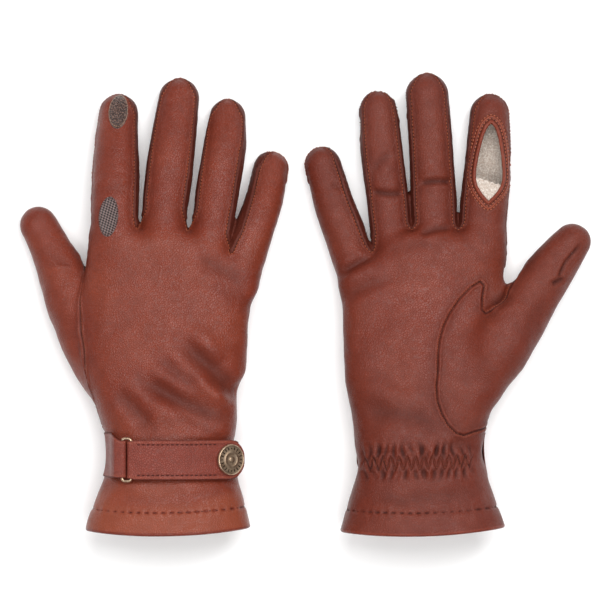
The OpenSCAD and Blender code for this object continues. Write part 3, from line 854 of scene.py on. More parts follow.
def detail(P, g, seed):
    """How far the leather stands out from the smooth form, and its shade: painted shade in folds and hollows,
    tan on raised edges.
    """
    x, y, z = P.T
    Z = z - at(g, "rise", y)
    back = ease((Z + 1) / 5)
    palm = ease((-Z + 1) / 5)
    finger = ease((y - 118) / 14)
    strap = ease(1 - (np.abs(y - DRUM[1]) - 10.5) / 3) * back
    calm = 1 - 0.92 * strap
    out = (0.55 * ripple(P, 42, seed) + 0.2 * ripple(P, 17, seed + 1)) * (1 - 0.6 * finger) * calm
    out += 0.035 * ripple(P, 6, seed + 2) * calm
    # soft crosswise rumples on the fingers and thumb, where they bend
    out += 0.05 * finger * ripple(P * [0.45, 1.6, 0.6], 9, seed + 3)
    dark = np.zeros(len(P))
    which, _, fz, _ = nearest_finger(P, g)
    fz = np.where(y > 118, fz, Z)
    for side, pts, depth, width in CREASES[g["name"]]:
        d, t = line_distance(x, y, outline(pts))
        swell = np.sin(math.pi * np.clip(t, 0.02, 0.98)) * (1.3 if width > 2 else 1.9)
        near = ease((side * fz + 0.5) / 4) * np.clip(swell, 0, 1)
        fall = bell(d / width) * near
        out -= 1.2 * depth * fall
        if depth > 0:
            out += 0.35 * depth * bell((d - 2 * width) / (1.1 * width)) * near
            # painted shade in the hollows of the folds
            dark = np.maximum(dark, fall * min(1, depth / 2) * (0.62 if width > 2 else 1.1))
    # the seams: a groove between two edges that stand up a little
    s = seam_distance(P, g)
    out += -0.85 * bell(s / 0.5) + 0.42 * bell((s - 1.25) / 0.7)
    pucker = bell(s / 3.2) * (s > 0.7)
    out += 0.12 * pucker * ripple(P, 3.2, seed + 5)
    # painted shade: darker within a few millimetres of each seam, towards the fingers' sides, and a dark line
    # in its groove
    dark = np.maximum(dark, 0.3 * bell(s / 4.0))
    dark = np.maximum(dark, 0.9 * bell(s / 0.42))
    # a lighter tan on the raised edges beside the seams
    ridge_tan = bell((s - 1.15) / 0.42) * (0.75 + 0.25 * ripple(P, 7, seed + 9))
    # the slit's lips rise round the opening, with a sewn welt
    f = slit_field(P, g)
    out += 0.9 * bell(f / 4.5) * (f < 20)
    out += 0.3 * bell((f - 2.7) / 0.6) - 0.35 * bell((f - 1.6) / 0.45) - 0.3 * bell((f - 3.7) / 0.45)
    out += 0.16 * bell((f - 4.4) / 1.4) * ripple(P, 2.3, seed + 6)
    # painted shade in the two grooves on either side of the welt
    dark = np.maximum(dark, 0.75 * bell((f - 1.6) / 0.45))
    dark = np.maximum(dark, 0.4 * bell((f - 3.7) / 0.45))
    # and a lighter tan on the welt's crest
    ridge_tan = np.maximum(ridge_tan, 0.6 * bell((f - 2.7) / 0.5))
    # the hem is double, sewn down and a little puckered
    f = hem_field(P, g)
    out += 0.22 * ease(-f / 2.2) - 0.16 * bell(f / 0.9)
    beat = np.cos(2 * math.pi * (x + 0.12 * z) / HEM_PITCH)
    dots = np.clip(0.45 + 0.9 * beat, 0, 1)
    faint = 0.35 + 0.65 * ease(ripple(P * [1, 0.2, 0.4], 26, seed + 8) + 0.7)
    pit = bell(f / 0.5) * dots * faint
    out -= 0.5 * pit
    out -= 0.14 * bell(f / 3.0) * beat
    # painted shade in the hem's stitch pits
    dark = np.maximum(dark, 0.8 * pit)
    # gathers over the elastic on the palm side: the zigzag pulls the leather in, and it puffs up between
    u = y - ELASTIC_Y - ELASTIC_TILT * x
    span = palm * ease((x - ELASTIC_X0 + 3) / 4) * ease((ELASTIC_X1 + 3 - x) / 4)
    phase = (x / ZIG) % 1
    top = np.abs(phase - 0.5) * 2  # 1 over the zigzag's upper corners and 0 over its lower ones
    line = np.abs(u - ZIG_H * (2 * top - 1)) * 0.33
    inside = np.exp(-((u / (ZIG_H + 1.2)) ** 6))
    sway = x + 0.9 * np.sin(y / 2.7 + 0.23 * x)
    pleat = np.cos(2 * math.pi * sway / ZIG)
    broad = ripple(P * [1, 0.13, 0.3], 7.0, seed + 7)
    above, below = bell((u - 6.5) / 4.2), bell((u + 5.8) / 3.4)
    out -= span * 1.5 * bell(u / 5.5)
    out += span * inside * (1.15 - 1.35 * bell(line / 0.55))
    out += span * (above * (0.5 * pleat + 0.75 * broad) - below * (0.42 * pleat - 0.5 * broad))
    # painted shade along the zigzag's groove and in the hollows of the pleats above and below it
    dark = np.maximum(dark, span * inside * 0.75 * bell(line / 0.42))
    dark = np.maximum(dark, span * above * np.clip(-0.6 * pleat - 0.5 * broad, 0, 0.8))
    dark = np.maximum(dark, span * below * np.clip(0.5 * pleat - 0.5 * broad, 0, 0.6))
    # painted light and shade: the second glove darker away from its palm's middle, the first lighter, most on
    # its cuff, and slightly darker on its fingers
    if g["name"] == "palm_up":
        tone = 0.27 * (1 - np.exp(-(((x - 4) / 42) ** 2) - ((y - 84) / 38) ** 2))
    else:
        tone = 0.08 * finger - 0.26 * ease(-(y + 12) / 12) - 0.05
    # painted shade, less the lighter tan of the raised edges, with the painted light and shade of tone
    return out, dark - ridge_tan * (1 - np.clip(3 * dark, 0, 1)) - ridge_tan * 0.3 + tone


def wanted_edge(P, g):
    """How fine the mesh is at each place."""
    s = seam_distance(P, g)
    f = np.abs(slit_field(P, g) - 1.5)
    hem = np.abs(hem_field(P, g))
    u = np.abs(P[:, 1] - ELASTIC_Y)
    fine = (s < 2.6) | (f < 5) | (hem < 2.2) | ((u < 9) & (P[:, 2] < at(g, "rise", P[:, 1])))
    fine |= (hood_field(P, g) < 0) & (hood_field(P, g, -FOLD_START) > 0)
    return np.where(fine, pick(0.68), pick(1.45))


# ---------------------------------------------------------------- materials


def linear(r, g, b):
    """A colour as it looks on a screen, 0 to 255, in linear values."""
    return tuple(c / 12.92 if c <= 0.04045 else ((c + 0.055) / 1.055) ** 2.4
                 for c in (r / 255, g / 255, b / 255)) + (1.0,)


class Nodes:
    """A short way to build one material's nodes."""

    def __init__(self, name):
        self.mat = bpy.data.materials.new(name)
        self.mat.use_nodes = True
        self.tree = self.mat.node_tree
        self.shader = self.tree.nodes["Principled BSDF"]
        self.place = self.add("ShaderNodeTexCoord").outputs["Object"]

    def add(self, kind, **values):
        node = self.tree.nodes.new(kind)
        for key, value in values.items():
            if hasattr(node, key):
                setattr(node, key, value)
            else:
                self.put(node.inputs[key.replace("_", " ")], value)
        return node

    def put(self, socket, value):
        if isinstance(value, bpy.types.NodeSocket):
            self.tree.links.new(value, socket)
        else:
            socket.default_value = value

    def noise(self, size_mm, detail=3.0, rough=0.55):
        scale = 1000 / size_mm
        node = self.add("ShaderNodeTexNoise", Vector=self.place, Scale=scale, Detail=detail, Roughness=rough)
        return node.outputs["Fac"]

    def cells(self, size_mm, feature="F1"):
        node = self.add("ShaderNodeTexVoronoi", feature=feature, Vector=self.place, Scale=1000 / size_mm)
        return node.outputs["Distance"]

    def math(self, kind, a, b=0.0, c=0.0):
        node = self.add("ShaderNodeMath", operation=kind)
        for socket, value in zip(node.inputs, (a, b, c)):
            self.put(socket, value)
        return node.outputs[0]

    def remap(self, value, a, b, c, d):
        node = self.add("ShaderNodeMapRange")
        for socket, v in zip(node.inputs, (value, a, b, c, d)):
            self.put(socket, v)
        return node.outputs[0]

    def mix(self, fac, a, b, kind="MIX"):
        node = self.add("ShaderNodeMix", data_type="RGBA", blend_type=kind)
        self.put(node.inputs[0], fac)
        self.put(node.inputs[6], a)
        self.put(node.inputs[7], b)
        return node.outputs[2]

    def shade(self):
        return self.add("ShaderNodeAttribute", attribute_name="shade").outputs["Fac"]

    def bump(self, *layers):
        """Stacked bumps from (height, distance in mm, strength)."""
        last = None
        for height, distance_mm, strength in layers:
            node = self.add("ShaderNodeBump", Height=height, Distance=distance_mm / 1000, Strength=strength)
            if last:
                self.put(node.inputs["Normal"], last)
            last = node.outputs[0]
        self.put(self.shader.inputs["Normal"], last)

    def finish(self, color, rough, **flat):
        self.put(self.shader.inputs["Base Color"], color)
        self.put(self.shader.inputs["Roughness"], rough)
        for key, value in flat.items():
            self.shader.inputs[key.replace("_", " ")].default_value = value
        return self.mat


def leather(name, base, dark, light, rough=0.34, grain=1.0):
    """Its shade paints shade into folds, seams and strips; where negative, a lighter tan on edges and painted
    light on a cuff.
    """
    n = Nodes(name)
    broad = n.remap(n.noise(30, 2), 0.35, 0.65, 0, 1)
    small = n.remap(n.noise(6, 4), 0.35, 0.65, 0, 1)
    pores = n.cells(1.2, "DISTANCE_TO_EDGE")
    color = n.mix(n.math("MULTIPLY", broad, 0.5), base, light)
    color = n.mix(n.math("MULTIPLY", small, 0.16), color, dark)
    color = n.mix(n.remap(pores, 0.0, 0.2, 0.25 * grain, 0.0), color, dark)
    # painted shade where the shade attribute is positive; where it is negative, a lighter tan and painted
    # light
    color = n.mix(n.remap(n.shade(), 0, 1, 0, 0.9), color, dark)
    color = n.mix(n.remap(n.shade(), 0, -1, 0, 0.75), color, TAN_AND_PAINTED_LIGHT)
    polish = n.remap(small, 0, 1, rough - 0.04, rough + 0.05)
    roughness = n.math("ADD", polish, n.remap(n.shade(), 0, 1, 0, 0.38))
    creased = n.cells(2.6, "DISTANCE_TO_EDGE")
    n.bump((n.noise(3.2, 3), 0.4, 0.25 * grain), (n.remap(creased, 0.0, 0.2, 0, 1), 0.12, 0.25 * grain),
           (n.remap(pores, 0.0, 0.25, 0, 1), 0.16, 0.75 * grain), (n.noise(0.3, 2), 0.03, 0.25 * grain))
    return n.finish(color, roughness, Specular_IOR_Level=0.24)


# the last colour is a lighter tan for raised edges and the slit's binding, and for painted light on a cuff
BASE, DARK, LIGHT, TAN_AND_PAINTED_LIGHT = linear(116, 46, 30), linear(44, 12, 7), linear(131, 59, 41), linear(170, 94, 64)
LEATHER_MAT = leather("smooth_leather", BASE, DARK, LIGHT)
STRAP_MAT = leather("strap_leather", linear(124, 55, 43), linear(50, 16, 12), linear(136, 66, 54),
                    rough=0.42, grain=1.3)


def fleece():
    n = Nodes("cream_fleece")
    tufts = n.noise(1.1, 4, 0.7)
    curls = n.cells(0.9)
    color = n.mix(n.remap(tufts, 0.3, 0.7, 0, 1), linear(184, 171, 159), linear(238, 230, 220))
    color = n.mix(n.remap(curls, 0.15, 0.75, 0.0, 0.6), color, linear(158, 132, 116))
    n.bump((tufts, 0.8, 0.8), (curls, 0.5, 0.5))
    return n.finish(color, 0.95, Specular_IOR_Level=0.1, Sheen_Weight=0.6, Sheen_Roughness=0.5)


WEAVE_PITCH, LOOP_PITCH = 2.1, 0.9


def hook_weave():
    n = Nodes("woven_hook_tape")
    x, y, _ = n.add("ShaderNodeSeparateXYZ", Vector=n.place).outputs
    pitch = 2 * math.pi / (WEAVE_PITCH / 1000)
    warp = n.math("SINE", n.math("MULTIPLY", n.math("ADD", x, n.math("MULTIPLY", y, 0.55)), pitch))
    weft = n.math("SINE", n.math("MULTIPLY", n.math("SUBTRACT", y, n.math("MULTIPLY", x, 0.35)), pitch * 0.9))
    weave = n.math("MULTIPLY", warp, weft)
    fuzz = n.noise(0.5, 3, 0.7)
    color = n.mix(n.remap(weave, -0.6, 0.7, 0, 1), linear(8, 4, 4), linear(138, 118, 115))
    color = n.mix(n.remap(fuzz, 0.35, 0.75, 0, 0.3), color, linear(66, 50, 48))
    n.bump((weave, 0.45, 0.9), (fuzz, 0.25, 0.6))
    return n.finish(color, 0.8, Specular_IOR_Level=0.25, Sheen_Weight=0.25)


def loop_fuzz():
    n = Nodes("brushed_loop_tape")
    fuzz = n.noise(0.9, 3, 0.8)
    knots = n.cells(0.9)
    color = n.mix(n.remap(fuzz, 0.48, 0.62, 0, 1), linear(34, 15, 11), linear(132, 102, 90))
    color = n.mix(n.remap(knots, 0.0, 0.6, 0.5, 0.0), color, linear(38, 18, 14))
    n.bump((fuzz, 0.6, 0.9), (knots, 0.3, 0.6))
    return n.finish(color, 0.9, Specular_IOR_Level=0.15, Sheen_Weight=0.5)


def brass():
    n = Nodes("antique_brass")
    tarnish = n.noise(2.2, 4, 0.6)
    wear = n.noise(0.5, 3, 0.6)
    shade = n.shade()
    color = n.mix(n.remap(tarnish, 0.38, 0.66, 0, 1), linear(206, 180, 154), linear(168, 140, 114))
    color = n.mix(n.math("MULTIPLY", shade, 0.95), color, linear(34, 24, 18))
    rough = n.math("ADD", n.remap(wear, 0.3, 0.7, 0.34, 0.46), n.math("MULTIPLY", shade, 0.2))
    n.bump((wear, 0.05, 0.35))
    return n.finish(color, rough, Metallic=1.0)


def thread(name, color_a, color_b):
    n = Nodes(name)
    ply = n.noise(0.35, 2, 0.5)
    color = n.mix(n.remap(ply, 0.3, 0.7, 0, 1), color_a, color_b)
    n.bump((ply, 0.08, 0.6))
    return n.finish(color, 0.62, Specular_IOR_Level=0.2)


def elastic():
    n = Nodes("woven_elastic")
    x, y, _ = n.add("ShaderNodeSeparateXYZ", Vector=n.place).outputs
    ribs = n.math("SINE", n.math("MULTIPLY", y, 2 * math.pi / 0.0007))
    color = n.mix(n.remap(ribs, -1, 1, 0, 1), linear(188, 180, 168), linear(226, 220, 208))
    n.bump((ribs, 0.15, 0.6), (n.noise(0.4, 2), 0.1, 0.4))
    return n.finish(color, 0.8)


FLEECE_MAT = fleece()
HOOK_MAT = hook_weave()
LOOP_MAT = loop_fuzz()
BRASS_MAT = brass()
ELASTIC_MAT = elastic()
THREAD_MAT = thread("matching_thread", linear(118, 54, 35), linear(164, 92, 62))
LIGHT_THREAD_MAT = thread("tan_thread", linear(134, 70, 50), linear(178, 106, 80))
BEIGE_THREAD_MAT = thread("beige_thread", linear(128, 98, 80), linear(164, 132, 110))
DARK_THREAD_MAT = thread("dark_thread", linear(52, 18, 15), linear(84, 34, 27))
RED_THREAD_MAT = thread("red_brown_thread", linear(84, 34, 24), linear(128, 62, 42))


# ---------------------------------------------------------------- the leather


def columns(P, g, seed):
    """A row per point: its place on the finished leather, the normal, the shade, and where it came from."""
    N = slope(P, g)
    D, dark = detail(P, g, seed)
    return np.hstack([P + N * D[:, None], N, dark[:, None], P])


def sheet_piece(name, A, T, g, material, inward=LEATHER, outward=0.0):
    V, faces, quads, sharp = solid(A[:, :3], A[:, 3:6], T, inward, outward)
    return add_mesh(name, V, faces + [quads], material, g, sharp, np.tile(A[:, 6], 2))


def dress(obj, slot, *nodes):
    """Hides the nodes of the frame that a piece stands for; its slot is not used."""
    if nodes:
        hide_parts(*nodes)
    return obj


def fold_with(obj):
    """Bakes the placement of a piece of the index fingertip into its mesh, without putting it on a body."""
    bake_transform(obj)


def gap_of(P, g):
    """Which gap between fingers each point faces: 0 between index and middle, up to 2."""
    which, X, _, _ = nearest_finger(P, g)
    return np.clip(which + (X > 0) - 1, 0, 2)


def rows_on(A, T, f, pitch, closed_only=False, smooth=3):
    """Evenly spaced rows along each line f = 0, with whether it is closed."""
    found = []
    for line, closed in isolines(A, T, f):
        seg = np.linalg.norm(np.diff(line[:, :3], axis=0), axis=1).sum()
        if seg < 6 or (closed_only and not closed):
            continue
        line = smooth_rows(line, closed, smooth)
        found.append((resample(line, closed, pitch), closed))
    return found


STRIP_PAINTED_SHADE = 0.6  # painted shade on the side strips between the fingers, which face sideways


def make_leather(g, seed):
    name = g["name"]
    V, T = surface(g, 0, pick(1.5))
    (V, T), _ = cut(V, T, (cuff_edge(V[:, 0], g) - 4) - V[:, 1])
    V, T = refine(V, T, lambda M: wanted_edge(M, g), pick(2))
    V = settle(V, g, 0, 2)
    whole = columns(V, g, seed)
    B = whole[:, 7:10]
    cuff_rows = rows_on(whole, T, cuff_edge(B[:, 0], g) - B[:, 1], 0.9, True)
    slit_rows = rows_on(whole, T, slit_field(B, g), 0.5, True)
    (A, T), _ = cut(whole, T, cuff_edge(B[:, 0], g) - B[:, 1])
    _, (A, T) = cut(A, T, slit_field(A[:, 7:10], g))
    lines = dict(cuff=cuff_rows, slit=slit_rows, skin=(A, T))

    thumb, rest = cut(A, T, thumb_field(A[:, 7:10], g))
    hood, body = cut(*rest, hood_field(rest[0][:, 7:10], g))
    strips, palm = cut(*body, strip_field(body[0][:, 7:10], g))
    tip_strip, tip = cut(*hood, strip_field(hood[0][:, 7:10], g))

    obj = sheet_piece(name + "_leather", *palm, g, LEATHER_MAT)
    skin = ("hand_shell", "index_stall", "middle_stall", "ring_stall", "little_stall")
    dress(obj, "leather", *(f"{name}_{node}" for node in skin))
    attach(obj, name + "_glove")
    obj = sheet_piece(name + "_thumb_leather", *thumb, g, LEATHER_MAT)
    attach(dress(obj, "leather", name + "_thumb"), name + "_glove")
    A2, T2 = strips
    gaps = gap_of(A2[:, 7:10], g)[T2[:, 0]]
    for k, pair in enumerate(("index_middle", "middle_ring", "ring_little")):
        part = tidy(A2, T2[gaps == k])
        # painted shade on the strips
        part[0][:, 6] = np.maximum(part[0][:, 6], STRIP_PAINTED_SHADE)
        obj = sheet_piece(f"{name}_{pair}_strip", *part, g, LEATHER_MAT)
        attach(dress(obj, "leather_edge", f"{name}_{pair}_fourchette"), name + "_glove")
    obj = sheet_piece(name + "_fingertip_leather", *tip, g, LEATHER_MAT)
    fold_with(dress(obj, "leather", name + "_index_hood"))
    # painted shade on the fingertip's strip
    tip_strip[0][:, 6] = np.maximum(tip_strip[0][:, 6], STRIP_PAINTED_SHADE)
    obj = sheet_piece(name + "_fingertip_strip", *tip_strip, g, LEATHER_MAT)
    fold_with(dress(obj, "leather_edge", name + "_hood_fourchette"))
    return lines


# ---------------------------------------------------------------- the lining, hem and elastic


def make_lining(g, seed):
    name = g["name"]
    V, T = surface(g, LINING_DEPTH, pick(1.9))
    (V, T), _ = cut(V, T, -32.0 - V[:, 1])

    def want(M):
        near = (slit_field(M, g) < 8) | ((hood_field(M, g, -22) < 0) & (M[:, 1] < 186))
        return np.where(near, pick(0.75), 2.2)

    V, T = refine(V, T, want, pick(2))
    V = settle(V, g, LINING_DEPTH, 2)
    _, (V, T) = cut(V, T, fleece_hole(V, g) - 0.2)
    N = slope(V, g)
    D, _ = detail(V, g, seed)
    under = np.exp(-(((V[:, 1] - ELASTIC_Y) / 5.5) ** 4)) * ease((-V[:, 2] + at(g, "rise", V[:, 1])) / 5)
    under = np.maximum(under, 0.8 * bell(seam_distance(V, g) / 2.6))
    pile = 0.34 * ripple(V, 1.7, seed + 20) + 0.2 * ripple(V, 3.5, seed + 21)
    opening = slit_field(V, g)
    tuft = np.where(opening < 0, ease(-opening / 1.5), 0)
    lifted = V + N * (D - 0.9 * under + tuft * (0.9 + 1.2 * pile))[:, None]
    A = np.hstack([lifted, N, np.zeros((len(V), 1)), V, pile[:, None]])
    tip, body = cut(A, T, hood_field(V, g, FOLD_START - 1))
    for part, label, node in ((body, "fleece_lining", "lining"), (tip, "fingertip_fleece", "hood_lining")):
        A2, T2 = part
        V2, faces, quads, sharp = solid(A2[:, :3], A2[:, 3:6], T2, FLEECE)
        V2[len(A2):] += A2[:, 3:6] * (A2[:, 10:11] * 0.9 - 0.2)
        obj = add_mesh(f"{name}_{label}", V2, faces + [quads], FLEECE_MAT, g, sharp)
        dress(obj, "fleece", f"{name}_{node}")
        if node == "lining":
            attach(obj, name + "_glove")
        else:
            fold_with(obj)


def make_hem(g, lines):
    name = g["name"]
    A, T = lines["skin"]
    B = A[:, 7:10]
    (A, T), _ = cut(A, T, hem_field(B, g) - 0.6)
    inner = A.copy()
    inner[:, :3] -= A[:, 3:6] * 1.25
    V, faces, quads, sharp = solid(inner[:, :3], inner[:, 3:6], T, 0.9)
    parts = [(V, faces + [quads])]
    for rows, closed in lines["cuff"]:
        rows = smooth_rows(rows, closed, 4)
        path = rows[:, :3] - rows[:, 3:6] * 1.1
        parts.append(sweep(path, rows[:, 3:6], circle_ring(1.22, 14), closed))
    V, faces = merge(parts)
    obj = add_mesh(name + "_rolled_hem", V, faces, LEATHER_MAT, g)
    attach(dress(obj, "leather_edge", name + "_hem_facing"), name + "_glove")

    A, T = lines["skin"]
    B = A[:, 7:10]
    f = np.abs(B[:, 1] - ELASTIC_Y - ELASTIC_TILT * B[:, 0]) - 3.5
    f = np.maximum(f, B[:, 2] - at(g, "rise", B[:, 1]) + 5)
    f = np.maximum(f, np.maximum(ELASTIC_X0 - B[:, 0], B[:, 0] - ELASTIC_X1))
    (A, T), _ = cut(A, T, f)
    A = A.copy()
    A[:, :3] -= A[:, 3:6] * 1.24
    obj = sheet_piece(name + "_elastic_band", A, T, g, ELASTIC_MAT, 0.7)
    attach(dress(obj, "elastic", name + "_wrist_elastic"), name + "_glove")


# ---------------------------------------------------------------- the slit's binding and the two patches


def make_binding(g, lines):
    name = g["name"]
    parts = []
    for rows, closed in lines["slit"]:
        path = rows[:, :3] - rows[:, 3:6] * 0.25
        parts.append(sweep(path, rows[:, 3:6], circle_ring(1.0, 14, 0.95), closed))
    V, faces = merge(parts)
    obj = add_mesh(name + "_slit_edge", V, faces, LEATHER_MAT, g, None, np.full(len(V), -0.08))
    fold_with(dress(obj, "leather_edge", name + "_slit_binding", name + "_hood_binding"))


def make_patch(g, lines, y, centre, size, label, material, body, pitch, sewn):
    """An oval of fastening tape on the back of the index finger, with its edge sewn down."""
    name = g["name"]
    slot = label.replace("patch", "tape")
    level = np.interp(y, YS, g["mid"][0][1])
    A, T = lines["skin"]
    B = A[:, 7:10]
    (A, T), _ = cut(A, T, patch_field(B, g, centre, (size[0] + 1.5, size[1] + 1.5), level))
    A, T = refine(A, T, lambda M: np.full(len(M), pick(0.34)), 3)
    (A, T), _ = cut(A, T, patch_field(A[:, 7:10], g, centre, size, level))
    f = patch_field(A[:, 7:10], g, centre, size, level)
    rim = np.sqrt(np.clip(1 - (1 - np.clip(-f / 0.8, 0, 1)) ** 2, 0, 1))
    P = A[:, 7:10]
    d = g["fold_dir"]
    u, w = P[:, 0] * d[1] - P[:, 1] * d[0], P[:, 0] * d[0] + P[:, 1] * d[1]
    if label == "hook_patch":
        warp = np.sin((u + 0.5 * w) * 2 * math.pi / pitch)
        pile = 0.13 * warp * np.sin((w - 0.35 * u) * 2 * math.pi / pitch)
    else:
        pile = 0.1 * ripple(P, pitch, 77) + 0.06 * ripple(P, 2.2 * pitch, 78)
    height = 0.15 + 0.62 * rim + pile * rim
    A = A.copy()
    A[:, :3] += A[:, 3:6] * height[:, None]
    V, faces, quads, sharp = solid(A[:, :3], A[:, 3:6], T, 0.1)
    V[len(A):] = A[:, :3] + A[:, 3:6] * (0.02 - height[:, None])
    obj = add_mesh(f"{name}_{label}_tape", V, faces + [quads], material, g)
    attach(dress(obj, slot, f"{name}_{label}"), name + body)
    edge = A.copy()
    edge[:, 3:6] = slope(P, g)
    rows = rows_on(edge, T, f + 0.45, 1.25, True)[0][0]
    V, faces = stitches(rows, 1.15, 0.16, -0.05, math.pi / 2 if label == "hook_patch" else 0.25)
    obj = add_mesh(f"{name}_{label}_sewing", V, faces, sewn, g)
    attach(dress(obj, slot), name + body)


# ---------------------------------------------------------------- strap, loop and press stud


def on_drum(a, r, y=0.0):
    """A place on the strap's drum, a degrees from its top, and the direction outwards there."""
    t = np.radians(a)
    out = np.stack([np.sin(t), np.zeros_like(t), np.cos(t)], -1)
    return DRUM + out * np.asarray(r)[..., None] + np.array([0, 1.0, 0]) * y, out


def spread():
    """Places across a strap as shares of its half width, closer together at the edges and the sewing."""
    e = np.array([0, 0.06, 0.2, 0.42, 0.75, 1.3, 1.9, 2.15, 2.4, 2.65, 2.9, 3.5, 4.8, 6.4, 8.4])
    e = e / (STRAP_W / 2)
    return np.concatenate([-1 + e, [0], (1 - e)[::-1]])


def strap_sheet(name, centre, out, half, shift, thick, material, g, sewn=None, lead=None, before=None):
    """A strap with rounded edges: rows of centre, outward direction and half width."""
    c = spread()
    n, m = len(centre) + (len(before[0]) if before else 0), len(c)
    y = np.reshape(shift, (-1, 1)) + half[:, None] * c[None]
    e = (1 - np.abs(c))[None] * (STRAP_W / 2) * np.ones((n, 1))
    edge = np.sqrt(np.clip(1 - (1 - np.clip(e / 0.55, 0, 1)) ** 2, 0, 1)) * 0.75 + 0.25
    if lead is not None:
        edge = np.minimum(edge, lead[:, None])
    C = centre[:, None] + np.array([0, 1.0, 0]) * y[..., None]
    O = np.broadcast_to(out[:, None], C.shape)
    if before:
        k = len(before[0])
        C, O = np.vstack([before[0], C]), np.vstack([before[1], O])
        for _ in range(14):  # evens out the change from one run of rows to the next
            for rows in (C, O):
                rows[2 : k + 5] = (rows[1 : k + 4] + 2 * rows[2 : k + 5] + rows[3 : k + 6]) / 4
                rows[:k, 1:-1] = (rows[:k, :-2] + 2 * rows[:k, 1:-1] + rows[:k, 2:]) / 4
        O = O / np.linalg.norm(O, axis=2, keepdims=True)
    groove = np.zeros((n, m)) if sewn is None else 0.2 * bell((e - 2.4) / 0.4) * sewn[:, None]
    top = C + O * (thick / 2 * edge - groove)[..., None]
    low = C - O * (thick / 2 * edge)[..., None]
    V = np.vstack([top.reshape(-1, 3), low.reshape(-1, 3)])
    i, j = np.meshgrid(np.arange(n - 1), np.arange(m - 1), indexing="ij")
    q = np.stack([i * m + j, (i + 1) * m + j, (i + 1) * m + j + 1, i * m + j + 1], -1).reshape(-1, 4)
    N = n * m
    rim = np.concatenate([np.arange(m), np.arange(1, n) * m + m - 1, N - 2 - np.arange(m - 1),
                          (np.arange(n - 2)[::-1] + 1) * m])
    nxt = np.roll(rim, -1)
    walls = np.stack([rim, nxt, nxt + N, rim + N], 1)
    a, b = C[0, 0], C[1, 0]
    turn = np.dot(np.cross(b - a, C[0, -1] - a), out[0]) > 0
    if turn:
        faces = [q, q[:, ::-1] + N, walls[:, ::-1]]
    else:
        faces = [q[:, ::-1], q + N, walls]
    # painted shade in the sewing groove; darker along the very edge and on the underside, lighter just inside
    # the edge
    shade = 1.3 * groove + 0.5 * bell(e / 0.5) - 0.3 * bell((e - 1.0) / 0.4)
    shade = np.concatenate([shade.reshape(-1), np.full(N, 0.3)])
    return add_mesh(name, V, faces, material, g, None, shade)


def bar_turn(bar_a, start, stop, n):
    """Rows round a bar of the loop, by angle in degrees from straight out, positive towards the thumb."""
    c, out = on_drum(bar_a, BAR_R)
    along = np.array([out[2], 0, -out[0]])
    t = np.radians(np.linspace(start, stop, n))[:, None]
    o = out * np.cos(t) - along * np.sin(t)
    return c + o * (WIRE_GAP + STRAP_T / 2), o


